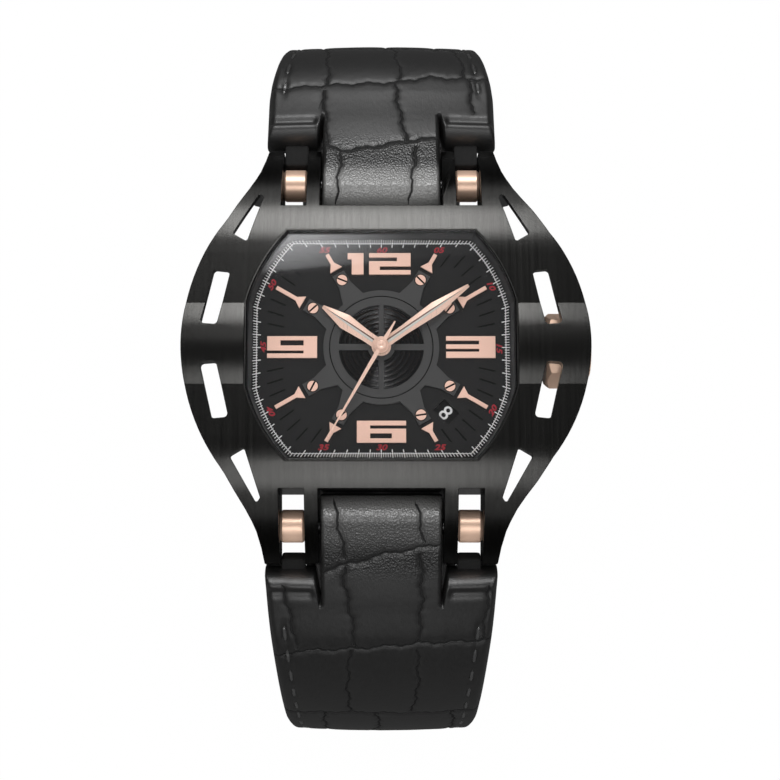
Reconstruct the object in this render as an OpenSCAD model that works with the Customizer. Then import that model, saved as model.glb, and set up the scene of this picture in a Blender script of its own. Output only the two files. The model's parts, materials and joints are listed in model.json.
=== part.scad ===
// Skeleton wristwatch: openwork tonneau case, raised-arm dial, automatic movement, leather strap.
// +Z points out of the dial, +Y towards 12 o'clock and +X towards the crown at 3 o'clock.
// The origin lies on the hand axis, in the flat outer face of the case back. Millimetres.

/* [Case] */
// Half width of the dial opening
opening_half_w = 16.0; // [15.5:0.1:16.4]
// Half height of the dial opening
opening_half_h = 13.7; // [13.5:0.1:14.0]
// Half length of the opening's straight top and bottom edges
opening_flat_x = 11.2; // [10.8:0.1:11.5]
// Half length of the opening's straight side edges
opening_flat_y = 5.2; // [4.8:0.1:5.6]
// Rise of the opening's bulging corner edges over their chords
opening_bulge = 0.6; // [0.3:0.05:0.8]
// Height of the flat top of the case above the case back
rim_z = 13.0; // [12.9:0.05:13.4]
// Half length of the flat top before it falls towards the lugs
crown_flat = 11.0; // [10.5:0.1:11.5]
// Radius of the top surface where it falls towards the lugs
shoulder_r = 18.36; // [17.8:0.1:19.5]
// Thickness of the openwork top plate
plate_t = 2.6; // [2.3:0.1:2.8]
// Half width of the case on the 9 o'clock side
left_half_w = 23.63; // [23.4:0.05:24.0]
// Half width of the case on the crown side
right_half_w = 24.73; // [24.4:0.05:25.0]
// Radius of the case's outline on the 9 o'clock side
left_side_r = 24.67; // [24:0.1:26]
// Radius of the case's outline on the crown side
right_side_r = 21.91; // [21.5:0.1:23]
// Half length of the raised band across each flank
bump_half = 4.85; // [4.5:0.05:5.2]
// Height of the raised band over the flat top
bump_h = 0.7; // [0.4:0.05:0.8]
// Half height of the bridge between the two middle side windows
window_bridge_half = 2.2; // [2.0:0.05:2.6]
// Depth of the side windows' edges, under which the windows widen
window_lip = 1.2; // [0.9:0.05:1.5]
// How much the side windows widen under their edges
window_relief = 0.5; // [0.2:0.05:0.6]
// Thickness of the container wall round the dial
container_wall = 1.25; // [1.1:0.05:1.4]
// Thickness of the case back
back_t = 2.0; // [1.6:0.1:2.1]
// Radius of the glass window in the case back
back_window_r = 11.0; // [10:0.1:11.4]
// Thickness of the case back's glass
back_glass_t = 1.0; // [0.8:0.1:1.2]

/* [Lugs and bars] */
// Distance of each strap bar from the hand axis
bar_y = 21.05; // [20.8:0.05:21.4]
// Height of the strap bars
bar_z = 6.0; // [5.8:0.05:6.2]
// Radius of the strap bars
bar_r = 0.95; // [0.8:0.05:1.05]
// Half width across the lugs
lug_half_w = 13.95; // [13.8:0.05:14.2]
// Distance of the lug tips from the hand axis
lug_tip_y = 25.5; // [25.3:0.1:25.8]
// Height of the lug's underside at its tip
lug_tip_low = 1.5; // [1.2:0.1:2.0]
// Height of the lug's underside at its root
lug_root_low = 3.3; // [2.8:0.1:3.6]
// Inner side of each lug slot
slot_in = 9.07; // [8.9:0.05:9.3]
// Outer side of each lug slot
slot_out = 12.1; // [11.9:0.05:12.3]
// Half width of the centre notch that takes the strap
notch_half = 7.45; // [7.4:0.05:7.7]
// Distance of the notch and slot floors from the hand axis
notch_base = 17.05; // [16.9:0.05:17.2]
// Radius of the rose-gold sleeves in the lug slots
sleeve_r = 1.97; // [1.7:0.05:2.1]
// Radius of the bar screws' heads
bar_screw_r = 1.35; // [1.2:0.05:1.5]

/* [Dial and glass] */
// Height of the dial's upper face
dial_z = 10.0; // [9.95:0.01:10.05]
// Thickness of the dial
dial_t = 0.45; // [0.3:0.05:0.45]
// Outer radius of the raised ring on the dial
ring_r = 6.94; // [6.7:0.02:7.1]
// Radius of the ring's inner opening
ring_inner_r = 5.12; // [4.9:0.02:5.3]
// Height of the raised ring and arms over the dial
bridge_h = 0.35; // [0.25:0.05:0.4]
// Radius that the eight arms reach
arm_r = 10.4; // [10.2:0.05:10.6]
// Width of each arm at its tip
arm_w = 1.6; // [1.4:0.05:1.8]
// Radius of the circle on which the arm screws lie
arm_screw_pcd_r = 9.45; // [9.3:0.05:9.6]
// Radius of each arm screw
arm_screw_r = 0.63; // [0.5:0.01:0.68]
// Height of the applied numerals
numeral_tall = 2.62; // [2.4:0.02:2.7]
// Thickness of the applied numerals and markers
applied_t = 0.4; // [0.3:0.05:0.5]
// Distance of the numerals 12 and 6 from the hand axis
numeral_y = 10.2; // [10.1:0.05:10.3]
// Outer radius of the markers at 2, 4, 8 and 10 o'clock
long_marker_r = 14.55; // [14.3:0.05:14.6]
// Outer radius of the markers at 1, 5, 7 and 11 o'clock
short_marker_r = 13.1; // [12.9:0.05:13.2]
// Radius of the date numerals' circle
date_r = 10.95; // [10.8:0.05:11.1]
// Height of the glass's lower face over the dial
glass_gap = 2.25; // [2.2:0.01:2.3]
// Thickness of the front glass
glass_t = 1.45; // [1.3:0.05:1.6]
// Width of the seal round the front glass
glass_seal_w = 0.4; // [0.3:0.05:0.5]
// Width of the black inner flange between dial and glass
flange_w = 0.55; // [0.4:0.05:0.65]

/* [Hands] */
// Length of the hour hand
hour_len = 8.4; // [8:0.1:8.8]
// Length of the minute hand
minute_len = 12.6; // [12:0.1:12.8]
// Length of the seconds hand
second_len = 13.0; // [12.5:0.1:13.0]
// Direction of the hour hand, clockwise from 12 o'clock
hour_angle = 304.6; // [304:0.1:305]
// Direction of the minute hand, clockwise from 12 o'clock
minute_angle = 55.0; // [54:0.5:57]
// Direction of the seconds hand, clockwise from 12 o'clock
second_angle = 209.8; // [205:0.2:215]
// Thickness of the hour and minute hands
hand_t = 0.2; // [0.15:0.01:0.22]

/* [Crown and winding] */
// Height of the winding stem's axis
stem_z = 7.5; // [7.45:0.01:7.55]
// Corner radius of the eight-sided crown
crown_corner_r = 4.6; // [4.4:0.05:4.7]
// Distance of the crown's inner end inside the case's side
crown_inset = 5.03; // [4.8:0.05:5.2]
// Length of the crown
crown_len = 5.4; // [5.2:0.1:5.8]
// Travel of the crown when it is pulled to set the hands
crown_travel = 1.4; // [1.0:0.1:1.6]
// Radius of the winding stem
stem_r = 0.45; // [0.4:0.01:0.5]
// Radial clearance of shafts in their bearings
run_gap = 0.03; // [0.02:0.01:0.05]

/* [Movement] */
// Radius of the movement
movement_r = 12.8; // [12.7:0.05:12.85]
// Underside of the mainplate
mainplate_low = 6.9; // [6.88:0.01:6.92]
// Upper side of the mainplate
mainplate_top = 8.2; // [8.18:0.01:8.22]
// Distance between the centre wheel's axis and the third wheel's axis
third_dist = 4.05; // [4.05:0.01:4.06]
// Distance between the centre axis and the barrel's axis
barrel_dist = 5.4; // [5.4:0.01:5.42]
// Distance between the centre axis and the escape wheel's axis
escape_dist = 3.64; // [3.64:0.01:3.65]
// Radius of the balance wheel's rim
balance_r = 3.1; // [2.9:0.05:3.15]
// Radius of the oscillating weight
rotor_r = 12.4; // [12:0.1:12.5]

/* [Strap] */
// Width of the strap beyond the lugs
strap_w = 28.4; // [28:0.1:28.8]
// Width of the strap's lower run
strap_low_w = 22.0; // [21:0.1:22.4]
// Thickness of the strap at the lugs
strap_root_t = 5.0; // [4.6:0.1:5.2]
// Thickness of the strap along its sides
strap_mid_t = 3.6; // [3.2:0.1:3.8]
// Thickness of the strap near its ends
strap_end_t = 3.0; // [2.8:0.1:3.0]
// Radius of the strap's tongue round its bar
tongue_round_r = 3.6; // [3.2:0.1:3.7]
// Radius that the strap's shoulders keep from the bar, clear of the lug tips
shoulder_clear_r = 6.7; // [6.6:0.1:7.0]
// Radius of the holes in the long half
strap_hole_r = 1.1; // [0.9:0.05:1.2]
// Distance between two holes along the strap
strap_hole_pitch = 6.0; // [5:0.5:6.5]

/* [Buckle] */
// Radius of the buckle's bar
buckle_bar_r = 0.75; // [0.6:0.05:0.8]
// Play of the strap between the buckle frame's sides
buckle_play = 0.6; // [0.4:0.05:1.0]
// Width of each of the buckle frame's sides
buckle_side_w = 2.2; // [1.8:0.1:2.4]
// Length of the buckle frame from its bar to its far end
buckle_len = 14.5; // [13.5:0.5:15]
// Width of the buckle's tongue
buckle_tongue_w = 2.2; // [1.8:0.1:2.4]
// Thickness of the leather keepers
keeper_t = 1.3; // [1.1:0.1:1.5]
// Travel of the free keeper along the strap
keeper_travel = 14.0; // [10:1:16]

/* [Hidden] */
$fn = 64;
eps = 0.01;

// Colours as the photograph shows them
gunmetal = [0.17, 0.17, 0.17];
black = [0.05, 0.05, 0.05];
rose_gold = [0.91, 0.66, 0.56];
steel = [0.72, 0.72, 0.74];
brass = [0.82, 0.68, 0.38];
leather = [0.16, 0.15, 0.15];
clear = [0.8, 0.85, 0.9, 0.3];

// Levels inside the case, from the dial down
seat_z = rim_z - plate_t;
bezel_low = 12.3;
glass_z = dial_z + glass_gap;
dial_low = dial_z - dial_t;
date_low = dial_low - 0.6;
date_t = 0.35;
holder_r = movement_r + 0.8;
crown_in_x = right_half_w - crown_inset;
buckle_inner_w = strap_low_w + buckle_play;
cavity_r = holder_r + 0.05;
fit_gap = 0.05;
frame_gap = 0.04;

// Gear trains: teeth and modules, chosen so that each pair fits its distance
barrel_teeth = 80;
centre_leaves = 10;
centre_teeth = 80;
third_leaves = 10;
third_teeth = 75;
fourth_leaves = 10;
fourth_teeth = 96;
escape_leaves = 8;
barrel_m = 2 * barrel_dist / (barrel_teeth + centre_leaves);
centre_m = 2 * third_dist / (centre_teeth + third_leaves);
third_m = 2 * third_dist / (third_teeth + fourth_leaves);
fourth_m = 2 * escape_dist / (fourth_teeth + escape_leaves);
barrel_dir = 50;
third_dir = 140;
escape_dir = 250;
minute_dir = -20;
motion_dist = 2.4;
cannon_leaves = 12;
minute_teeth = 36;
minute_leaves = 10;
hour_teeth = 40;
setting_teeth = 30;
cannon_m = 2 * motion_dist / (cannon_leaves + minute_teeth);
hour_m = 2 * motion_dist / (minute_leaves + hour_teeth);
setting_dist = cannon_m * (minute_teeth + setting_teeth) / 2;
barrel_at = polar(barrel_dist, barrel_dir);
third_at = polar(third_dist, third_dir);
escape_at = polar(escape_dist, escape_dir);
minute_at = polar(motion_dist, minute_dir);
setting_dir = 13.6;
setting_at = minute_at + polar(setting_dist, setting_dir);
pallet_at = escape_at + polar(2.95, 260);
balance_at = [-2.1, -8.75];
crown_wheel_at = [7.6, 0];
ratchet_teeth = 60;
crown_wheel_teeth = 36;
contrate_teeth = 36;
stem_leaves = 12;
stem_m = 0.125;
winding_dir = atan2(crown_wheel_at[1] - barrel_at[1], crown_wheel_at[0] - barrel_at[0]);
winding_dist = norm(crown_wheel_at - barrel_at);
winding_m = 2 * winding_dist / (ratchet_teeth + crown_wheel_teeth);
pivot_r = 0.12;
jewel_r = 0.45;
barrel_arbor_r = 0.5;
seconds_arbor_r = 0.17;
centre_arbor_r = 0.42;
cannon_r = 0.62;
hour_tube_r = 0.92;

// Wheel levels: the lower face of each toothed disc
centre_z = 6.3;
third_z = 5.75;
fourth_z = 5.42;
escape_z = 6.02;
barrel_z = 6.65;
wheel_t = 0.2;
train_low = 4.7;
train_floor = 5.3;
barrel_bridge_low = 5.0;
ratchet_z = 4.7;
auto_low = 4.0;
auto_t = 0.5;
cock_low = 4.05;
cock_t = 0.5;
balance_z = 5.0;
rotor_z = 3.3;

function polar(r, a) = [r * cos(a), r * sin(a)];

// Turn of a gear that meshes with a gear of n_a teeth turned by turn_a, dir from one to the other
function mesh_turn(turn_a, n_a, dir, n_b) =
    dir + 180 + ((dir - turn_a) * n_a / 360 + 0.5) * 360 / n_b;

// Points of an arc from p to q that stands bulge over its chord, q left out
function arc_points(p, q, bulge, steps) =
    let(chord = norm(q - p),
        r = (chord * chord / 4 + bulge * bulge) / (2 * bulge),
        mid = (p + q) / 2,
        n = [q[1] - p[1], p[0] - q[0]] / chord,
        c = mid - n * (r - bulge),
        a0 = atan2(p[1] - c[1], p[0] - c[0]),
        sweep = 2 * asin(chord / 2 / r))
    [for (i = [0 : steps - 1]) c + r * [cos(a0 + sweep * i / steps), sin(a0 + sweep * i / steps)]];

// Tonneau outline of the dial opening, offset outwards by d
function tonneau(d) =
    let(w = opening_half_w + d,
        h = opening_half_h + d,
        fx = opening_flat_x + 0.592 * d,
        fy = opening_flat_y + 0.256 * d,
        s = opening_bulge)
    concat(arc_points([w, fy], [fx, h], s, 10), [[fx, h]],
        arc_points([-fx, h], [-w, fy], s, 10), [[-w, fy]],
        arc_points([-w, -fy], [-fx, -h], s, 10), [[-fx, -h]],
        arc_points([fx, -h], [w, -fy], s, 10), [[w, -fy]]);

// A counter-clockwise polygon with each corner rounded by r
function rounded(pts, r, steps = 5) =
    [for (i = [0 : len(pts) - 1])
        let(p = pts[i],
            a = pts[(i + len(pts) - 1) % len(pts)],
            b = pts[(i + 1) % len(pts)],
            u = (a - p) / norm(a - p),
            v = (b - p) / norm(b - p),
            half = acos(u * v) / 2,
            cut = r / tan(half),
            c = p + (u + v) / norm(u + v) * r / sin(half),
            s = p + u * cut - c,
            a0 = atan2(s[1], s[0]),
            sweep = 180 - 2 * half)
        for (k = [0 : steps]) c + r * [cos(a0 + sweep * k / steps), sin(a0 + sweep * k / steps)]];

// Extrudes a tonneau from z0 to z1
module tonneau_block(d, z0, z1) {
    translate([0, 0, z0]) linear_extrude(z1 - z0) polygon(tonneau(d));
}

// Ring between two tonneau offsets
module tonneau_ring(outer, inner, z0, z1) {
    difference() {
        tonneau_block(outer, z0, z1);
        tonneau_block(inner, z0 - 1, z1 + 1);
    }
}

// Disc or tube on a vertical axis at p
module disc(p, r, z0, z1, bore = 0) {
    translate([p[0], p[1], z0]) difference() {
        cylinder(r = r, h = z1 - z0);
        if (bore > 0) translate([0, 0, -1]) cylinder(r = bore, h = z1 - z0 + 2);
    }
}

// Cylinder along X
module rod_x(r, x0, x1, y = 0, z = 0) {
    translate([x0, y, z]) rotate([0, 90, 0]) cylinder(r = r, h = x1 - x0);
}

// Extrudes a profile drawn in Y and Z along X
module along_x(x0, x1) {
    translate([x0, 0, 0]) rotate([90, 0, 90]) linear_extrude(x1 - x0) children();
}

// Copies into the four quadrants
module four_ways() {
    for (sx = [0, 1], sy = [0, 1]) mirror([sx, 0, 0]) mirror([0, sy, 0]) children();
}

// Copies towards 12 and towards 6 o'clock
module both_ends() {
    for (sy = [0, 1]) mirror([0, sy, 0]) children();
}

// Flat toothed disc: straight-sided teeth with backlash, a tooth centred on the turned X axis
module gear(teeth, m, h, bore, turn = 0) {
    pitch = 360 / teeth;
    r = m * teeth / 2;
    tip = r + 0.75 * m;
    root = r - 1.1 * m;
    rotate(turn) linear_extrude(h) difference() {
        polygon([for (i = [0 : teeth - 1], k = [[-0.29, root], [-0.11, tip], [0.11, tip], [0.29, root]])
            polar(k[1], (i + k[0]) * pitch)]);
        if (bore > 0) circle(bore);
    }
}

// Gear at a point with its lower face at z
module gear_at(p, z, teeth, m, h, bore, turn = 0) {
    translate([p[0], p[1], z]) gear(teeth, m, h, bore, turn);
}

// Case frame
// Region under the case's curved top, lowered by d
module under_curve(d) {
    for (s = [-1, 1]) translate([s * crown_flat, rim_z - shoulder_r]) circle(r = shoulder_r - d, $fn = 128);
    translate([-crown_flat, rim_z - shoulder_r]) square([2 * crown_flat, shoulder_r - d]);
}

// Outline of the case seen from above
flank_y = 15.3;
module case_outline() {
    left_c = left_side_r - left_half_w;
    right_c = right_half_w - right_side_r;
    intersection() {
        translate([-30, -flank_y]) square([30, 2 * flank_y]);
        translate([left_c, 0]) circle(r = left_side_r, $fn = 160);
    }
    intersection() {
        translate([0, -flank_y]) square([30, 2 * flank_y]);
        translate([right_c, 0]) circle(r = right_side_r, $fn = 160);
    }
    both_ends() {
        polygon(concat([[0, flank_y - 2], [20.2, flank_y - 2], [19.8, flank_y - 1.35], [18.26, 16.27],
            [16.94, 17.99]], lug_side));
        mirror([1, 0, 0]) polygon(concat([[0, flank_y - 2], [19.7, flank_y - 2], [18.32, 15.4],
            [17.25, 17.27]], lug_side));
    }
}

// Outer side of a lug, from its root to its tip
lug_side = [[15.96, 19.4], [15.22, 20.8], [14.73, 21.93], [14.24, 23.75], [lug_half_w, lug_tip_y],
    [0, lug_tip_y]];

// Thick part of the lugs seen from above
module lug_outline() {
    four_ways() polygon(concat([[0, opening_half_h + container_wall + frame_gap],
        [14.05, opening_half_h + container_wall + frame_gap], [14.05, 18.9]], lug_side));
}

// Side windows of the case
module window_outlines() {
    four_ways() {
        polygon(rounded([[19.45, window_bridge_half], [21.45, window_bridge_half + 0.15],
            [19.9, 8.95], [17.95, 8.75]], 0.45));
        polygon(rounded([[16.05, 12.35], [17.75, 13.35], [14.65, 18.75], [14.2, 18.1]], 0.25));
    }
}

module case_frame() color(gunmetal) {
    tip_round = 1.2;
    lug_root_y = notch_base + 2;
    difference() {
        union() {
            intersection() {
                translate([0, 0, -5]) linear_extrude(25) case_outline();
                along_x(-30, 30) difference() {
                    under_curve(0);
                    under_curve(plate_t);
                }
                union() {
                    translate([-30, -lug_root_y, 0]) cube([60, 2 * lug_root_y, 20]);
                    translate([-30, -30, lug_tip_low]) cube([60, 60, 20]);
                }
            }
            intersection() {
                translate([0, 0, -5]) linear_extrude(25) lug_outline();
                along_x(-30, 30) intersection() {
                    under_curve(0);
                    for (s = [0, 1]) mirror([s, 0]) polygon(rounded([[14, lug_root_low],
                        [notch_base, lug_root_low], [lug_tip_y, lug_tip_low], [lug_tip_y, rim_z + 2],
                        [14, rim_z + 2]], tip_round));
                }
            }
            intersection() {
                translate([0, 0, rim_z - 1]) linear_extrude(3) case_outline();
                bump_r = (bump_half * bump_half + bump_h * bump_h) / (2 * bump_h);
                translate([-30, 0, rim_z + bump_h - bump_r]) rotate([0, 90, 0])
                    cylinder(r = bump_r, h = 60, $fn = 256);
                translate([-30, -bump_half, rim_z - 0.5]) cube([60, 2 * bump_half, 3]);
            }
        }
        tonneau_block(0, seat_z - 1, rim_z + 3);
        tonneau_block(0.2, bezel_low, rim_z + 3);
        translate([0, 0, -1]) linear_extrude(20) window_outlines();
        intersection() {
            translate([0, 0, -1]) linear_extrude(20) offset(delta = window_relief) window_outlines();
            along_x(-30, 30) under_curve(window_lip);
        }
        both_ends() {
            translate([-notch_half, notch_base, -1]) cube([2 * notch_half, 12, 20]);
            for (s = [0, 1]) mirror([s, 0, 0])
                translate([slot_in, notch_base, -1]) cube([slot_out - slot_in, 12, 20]);
            rod_x(bar_r, -20, 20, bar_y, bar_z);
            for (s = [0, 1]) mirror([s, 0, 0]) rod_x(bar_screw_r + run_gap, slot_out + 1.0, 20, bar_y, bar_z);
        }
        rod_x(crown_corner_r + 0.25, opening_half_w + container_wall + 1, 30, 0, stem_z);
    }
}

module case_container() color(gunmetal) difference() {
    intersection() {
        tonneau_block(container_wall, back_t, seat_z);
        along_x(-30, 30) under_curve(plate_t);
    }
    tonneau_block(0.12, dial_low - eps, seat_z + 1);
    disc([0, 0], cavity_r, back_t - 1, rim_z);
    rod_x(crown_tube_r, 0, 20, 0, stem_z);
    translate([0, 0, back_t]) back_screw_places()
        cylinder(r = back_screw_r, h = 2 * back_screw_h, center = true);
}
crown_tube_r = 1.4;
back_screw_r = 0.5;
back_screw_h = 2.0;
module back_screw_places() {
    four_ways() translate([12.3, 9.4, 0]) children();
}

module bezel_ring() color(steel) tonneau_ring(0.2, 0, bezel_low, rim_z + 0.05);

module crystal() color(clear) tonneau_block(-glass_seal_w - 0.05, glass_z, glass_z + glass_t);

module crystal_gasket() color(black) tonneau_ring(-0.05, -glass_seal_w - 0.05, glass_z, rim_z - 0.05);

module inner_flange() color(black) tonneau_ring(-0.05, -flange_w - 0.05, dial_z, glass_z);

module case_back() color(gunmetal) difference() {
    tonneau_block(container_wall, 0, back_t);
    disc([0, 0], back_window_r, -1, back_t + 1);
    disc([0, 0], back_window_r + 0.8, back_glass_t, back_t + 1);
    back_screw_places() {
        translate([0, 0, -1]) cylinder(r = back_screw_r, h = back_t + 2);
        translate([0, 0, -eps]) cylinder(r = 2 * back_screw_r, h = 0.7);
    }
}

module back_glass() color(clear) {
    disc([0, 0], back_window_r - 0.02, 0, back_glass_t);
}

module back_gasket() color(black)
    disc([0, 0], back_window_r + 0.78, back_glass_t, back_glass_t + 0.4, back_window_r - 0.6);

module back_screws() color(steel) back_screw_places() {
    translate([0, 0, 0.05]) difference() {
        cylinder(r = 2 * back_screw_r - run_gap, h = 0.6);
        translate([-2, -0.12, -1]) cube([4, 0.24, 1.25]);
    }
    translate([0, 0, 0.3]) cylinder(r = back_screw_r, h = back_t + back_screw_h - 0.5);
}

// Dial
date_dir = -45;
module dial_plate() color(black) difference() {
    tonneau_block(0.1, dial_low, dial_z);
    disc([0, 0], 1.1, 0, 20);
    rotate(date_dir) translate([date_r - 1.25, -0.95, 0]) cube([2.5, 1.9, 20]);
}

module dial_rings() color(black) {
    ring_step = 0.62;
    for (i = [0 : 4]) disc([0, 0], ring_inner_r - 0.1 - i * ring_step, dial_z, dial_z + 0.14,
        ring_inner_r - 0.45 - i * ring_step);
}

// Angle of each arm, marker and arm screw: every hour but 12, 3, 6 and 9
arm_hours = [1, 2, 4, 5, 7, 8, 10, 11];
spoke_low = 0.15;
module dial_bridge() color([0.3, 0.3, 0.3]) difference() {
    union() {
        disc([0, 0], ring_r, dial_z, dial_z + bridge_h, ring_inner_r);
        for (h = arm_hours) rotate(90 - 30 * h) translate([0, 0, dial_z]) linear_extrude(bridge_h)
            polygon([[ring_r - 0.5, -1.5], [arm_r - 1.6, -arm_w / 2], [arm_r, -arm_w / 2],
                [arm_r, arm_w / 2], [arm_r - 1.6, arm_w / 2], [ring_r - 0.5, 1.5]]);
        for (spoke = [[0, 0.75], [90, 0.6]]) rotate(spoke[0])
            translate([-ring_inner_r - 0.1, -spoke[1] / 2, dial_z + spoke_low])
            cube([2 * ring_inner_r + 0.2, spoke[1], bridge_h - spoke_low]);
        disc([0, 0], 1.6, dial_z + spoke_low, dial_z + bridge_h);
    }
    disc([0, 0], 6.25, dial_z + bridge_h - 0.1, 20, 6.12);
    disc([0, 0], 1.1, 0, 20);
    for (h = arm_hours) rotate(90 - 30 * h) disc([arm_screw_pcd_r, 0], arm_screw_r + 0.1, dial_z + 0.1, 20);
}

slot_turns = [-45, 52, 27, 8, 40, 63, 42, -22];
module dial_screws() color(rose_gold) for (i = [0 : len(arm_hours) - 1])
    translate(concat(polar(arm_screw_pcd_r, 90 - 30 * arm_hours[i]), dial_z + 0.1)) difference() {
        cylinder(r = arm_screw_r, h = bridge_h);
        rotate(slot_turns[i]) translate([-1, -0.11, bridge_h - 0.15]) cube([2, 0.22, 1]);
    }

// Block numeral: a box w wide with slots given as [x0, x1, y0, y1] shares of its width and height
module block_numeral(x0, w, y_mid, slots) {
    translate([x0, y_mid - numeral_tall / 2, dial_z]) difference() {
        cube([w, numeral_tall, applied_t]);
        for (s = slots) translate([s[0] * w, s[2] * numeral_tall, -1])
            cube([(s[1] - s[0]) * w, (s[3] - s[2]) * numeral_tall, 5]);
    }
}

module applied_numerals() color(rose_gold) {
    translate([-4.07, numeral_y - numeral_tall / 2, dial_z]) linear_extrude(applied_t)
        polygon([[0.5, 0], [1.93, 0], [1.93, numeral_tall], [0, numeral_tall], [0, 0.72 * numeral_tall],
            [0.5, 0.72 * numeral_tall]]);
    block_numeral(-1.48, 5.02, numeral_y, [[-0.1, 0.67, 0.62, 0.8], [0.26, 1.1, 0.2, 0.38]]);
    block_numeral(-13.65, 5.97, 0, [[0.265, 0.73, 0.57, 0.82], [-0.1, 0.73, 0.2, 0.34]]);
    block_numeral(7.75, 5.9, 0, [[-0.1, 0.67, 0.62, 0.8], [-0.1, 0.67, 0.28, 0.42]]);
    block_numeral(-2.9, 5.84, -numeral_y, [[0.27, 1.1, 0.64, 0.79], [0.27, 0.71, 0.2, 0.43]]);
}

module hour_markers() color(rose_gold) for (h = arm_hours) {
    outer = h % 3 == 1 ? (h == 1 || h == 7 ? short_marker_r : long_marker_r)
        : (h == 5 || h == 11 ? short_marker_r : long_marker_r);
    rotate(90 - 30 * h) translate([0, 0, dial_z]) linear_extrude(applied_t)
        polygon([[10.9, -0.81], [11.8, -0.23], [outer, -0.23], [outer, 0.23], [11.8, 0.23], [10.9, 0.81]]);
}

// Lugs
module lug_bars() color(steel) both_ends() rod_x(bar_r, -slot_out - 1.0, slot_out + 1.0, bar_y, bar_z);

module lug_sleeves() color(rose_gold) both_ends() for (s = [0, 1]) mirror([s, 0, 0]) {
    mid = (slot_in + slot_out) / 2;
    half = (slot_out - slot_in) / 2 - 0.02;
    translate([mid, bar_y, bar_z]) rotate([0, 90, 0]) rotate_extrude($fn = 96)
        polygon([[bar_r, -half], [sleeve_r - 0.3, -half], [sleeve_r, -half + 0.3], [sleeve_r, half - 0.3],
            [sleeve_r - 0.3, half], [bar_r, half]]);
}

module lug_screws() color(steel) both_ends() for (s = [0, 1]) mirror([s, 0, 0])
    difference() {
        rod_x(bar_screw_r, slot_out + 1.0, slot_out + 1.75, bar_y, bar_z);
        translate([slot_out + 1.5, bar_y - 2, bar_z - 0.15]) cube([1, 4, 0.3]);
    }

// Crown, stem and keyless works
crown_socket_r = 1.95;
tube_out_x = crown_in_x + 2.5;
module crown_tube() color(steel) difference() {
    union() {
        rod_x(crown_tube_r, cavity_r + 1.2, tube_out_x, 0, stem_z);
        rod_x(1.7, opening_half_w + container_wall, crown_in_x - 0.3, 0, stem_z);
    }
    rod_x(stem_r + run_gap, 0, 30, 0, stem_z);
}

module crown() color(rose_gold) difference() {
    translate([crown_in_x, 0, stem_z]) rotate([0, 90, 0]) intersection() {
        cylinder(r = crown_corner_r, h = crown_len, $fn = 8);
        rotate_extrude($fn = 96) polygon([[0, 0], [crown_corner_r - 0.55, 0], [crown_corner_r, 0.6],
            [crown_corner_r, crown_len - 1.2], [crown_corner_r - 1.5, crown_len], [0, crown_len]]);
    }
    rod_x(crown_socket_r, 0, tube_out_x + 0.3, 0, stem_z);
    rod_x(stem_r, 0, crown_in_x + crown_len - 1.2, 0, stem_z);
}

module crown_gasket() color(black) difference() {
    rod_x(crown_socket_r, crown_in_x + 0.9, crown_in_x + 1.8, 0, stem_z);
    rod_x(crown_tube_r + 0.05, 0, 30, 0, stem_z);
}

pinion_in_x = 9.5;
slider_x = 7.7;
module winding_stem() color(steel) difference() {
    rod_x(stem_r, slider_x + 0.2, crown_in_x + crown_len - 1.2, 0, stem_z);
    difference() {
        rod_x(1, lever_x - 0.25, lever_x + 0.25, 0, stem_z);
        rod_x(0.27, lever_x - 1, lever_x + 1, 0, stem_z);
    }
}

// Spur teeth round a pinion on the stem, seen along X
module stem_pinion(x0, len, teeth, m) {
    translate([x0, 0, stem_z]) rotate([0, 90, 0]) gear(teeth, m, len, stem_r + run_gap);
}

module winding_pinion() color(steel) stem_pinion(pinion_in_x, 1.2, stem_leaves, stem_m);

module sliding_pinion() color(steel) union() {
    stem_pinion(slider_x + 0.62, 0.95, 12, 0.11);
    difference() {
        rod_x(0.55, slider_x + 0.42, slider_x + 0.62, 0, stem_z);
        rod_x(stem_r + run_gap, 0, 30, 0, stem_z);
    }
    stem_pinion(slider_x, 0.42, 12, 0.11);
}

lever_x = 11.2;
lever_at = [lever_x, -2.7];
lever_z = mainplate_top + 0.05;
module setting_lever() color(steel) union() {
    translate([0, 0, lever_z]) linear_extrude(0.25) difference() {
        polygon(rounded([[lever_x - 0.5, -3.2], [lever_x + 0.5, -3.2], [lever_x + 0.25, 0.25],
            [lever_x - 0.25, 0.25]], 0.2));
        translate(lever_at) circle(0.25);
    }
    disc([lever_x, 0], 0.18, stem_z + 0.3, lever_z + eps);
}

module crown_wheel() color(steel) {
    turn = mesh_turn(0, ratchet_teeth, winding_dir, crown_wheel_teeth);
    gear_at(crown_wheel_at, ratchet_z, crown_wheel_teeth, winding_m, 0.25, 0.4, turn);
    disc(crown_wheel_at, 0.75, ratchet_z, 6.35, 0.4);
    gear_at(crown_wheel_at, 6.35, contrate_teeth, stem_m, 0.25, 0.4);
}

module ratchet_wheel() color(steel) {
    gear_at(barrel_at, ratchet_z, ratchet_teeth, winding_m, 0.25, 0);
    disc(barrel_at, barrel_arbor_r, ratchet_z + 0.25, mainplate_top - 0.1);
}

// Movement
module movement_holder() color(black) difference() {
    disc([0, 0], holder_r, barrel_bridge_low, dial_low, movement_r + 0.02);
    rod_x(stem_r + 0.3, 0, 20, 0, stem_z);
    lever_pocket();
}

// Space in which the setting lever's end and pin swing
module lever_pocket() {
    translate([lever_x - 0.4, -0.7, stem_z]) cube([2.4, 1.3, 3]);
    translate([lever_x - 0.4, -1.7, mainplate_top]) cube([2.4, 1.1, 3]);
}

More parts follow.
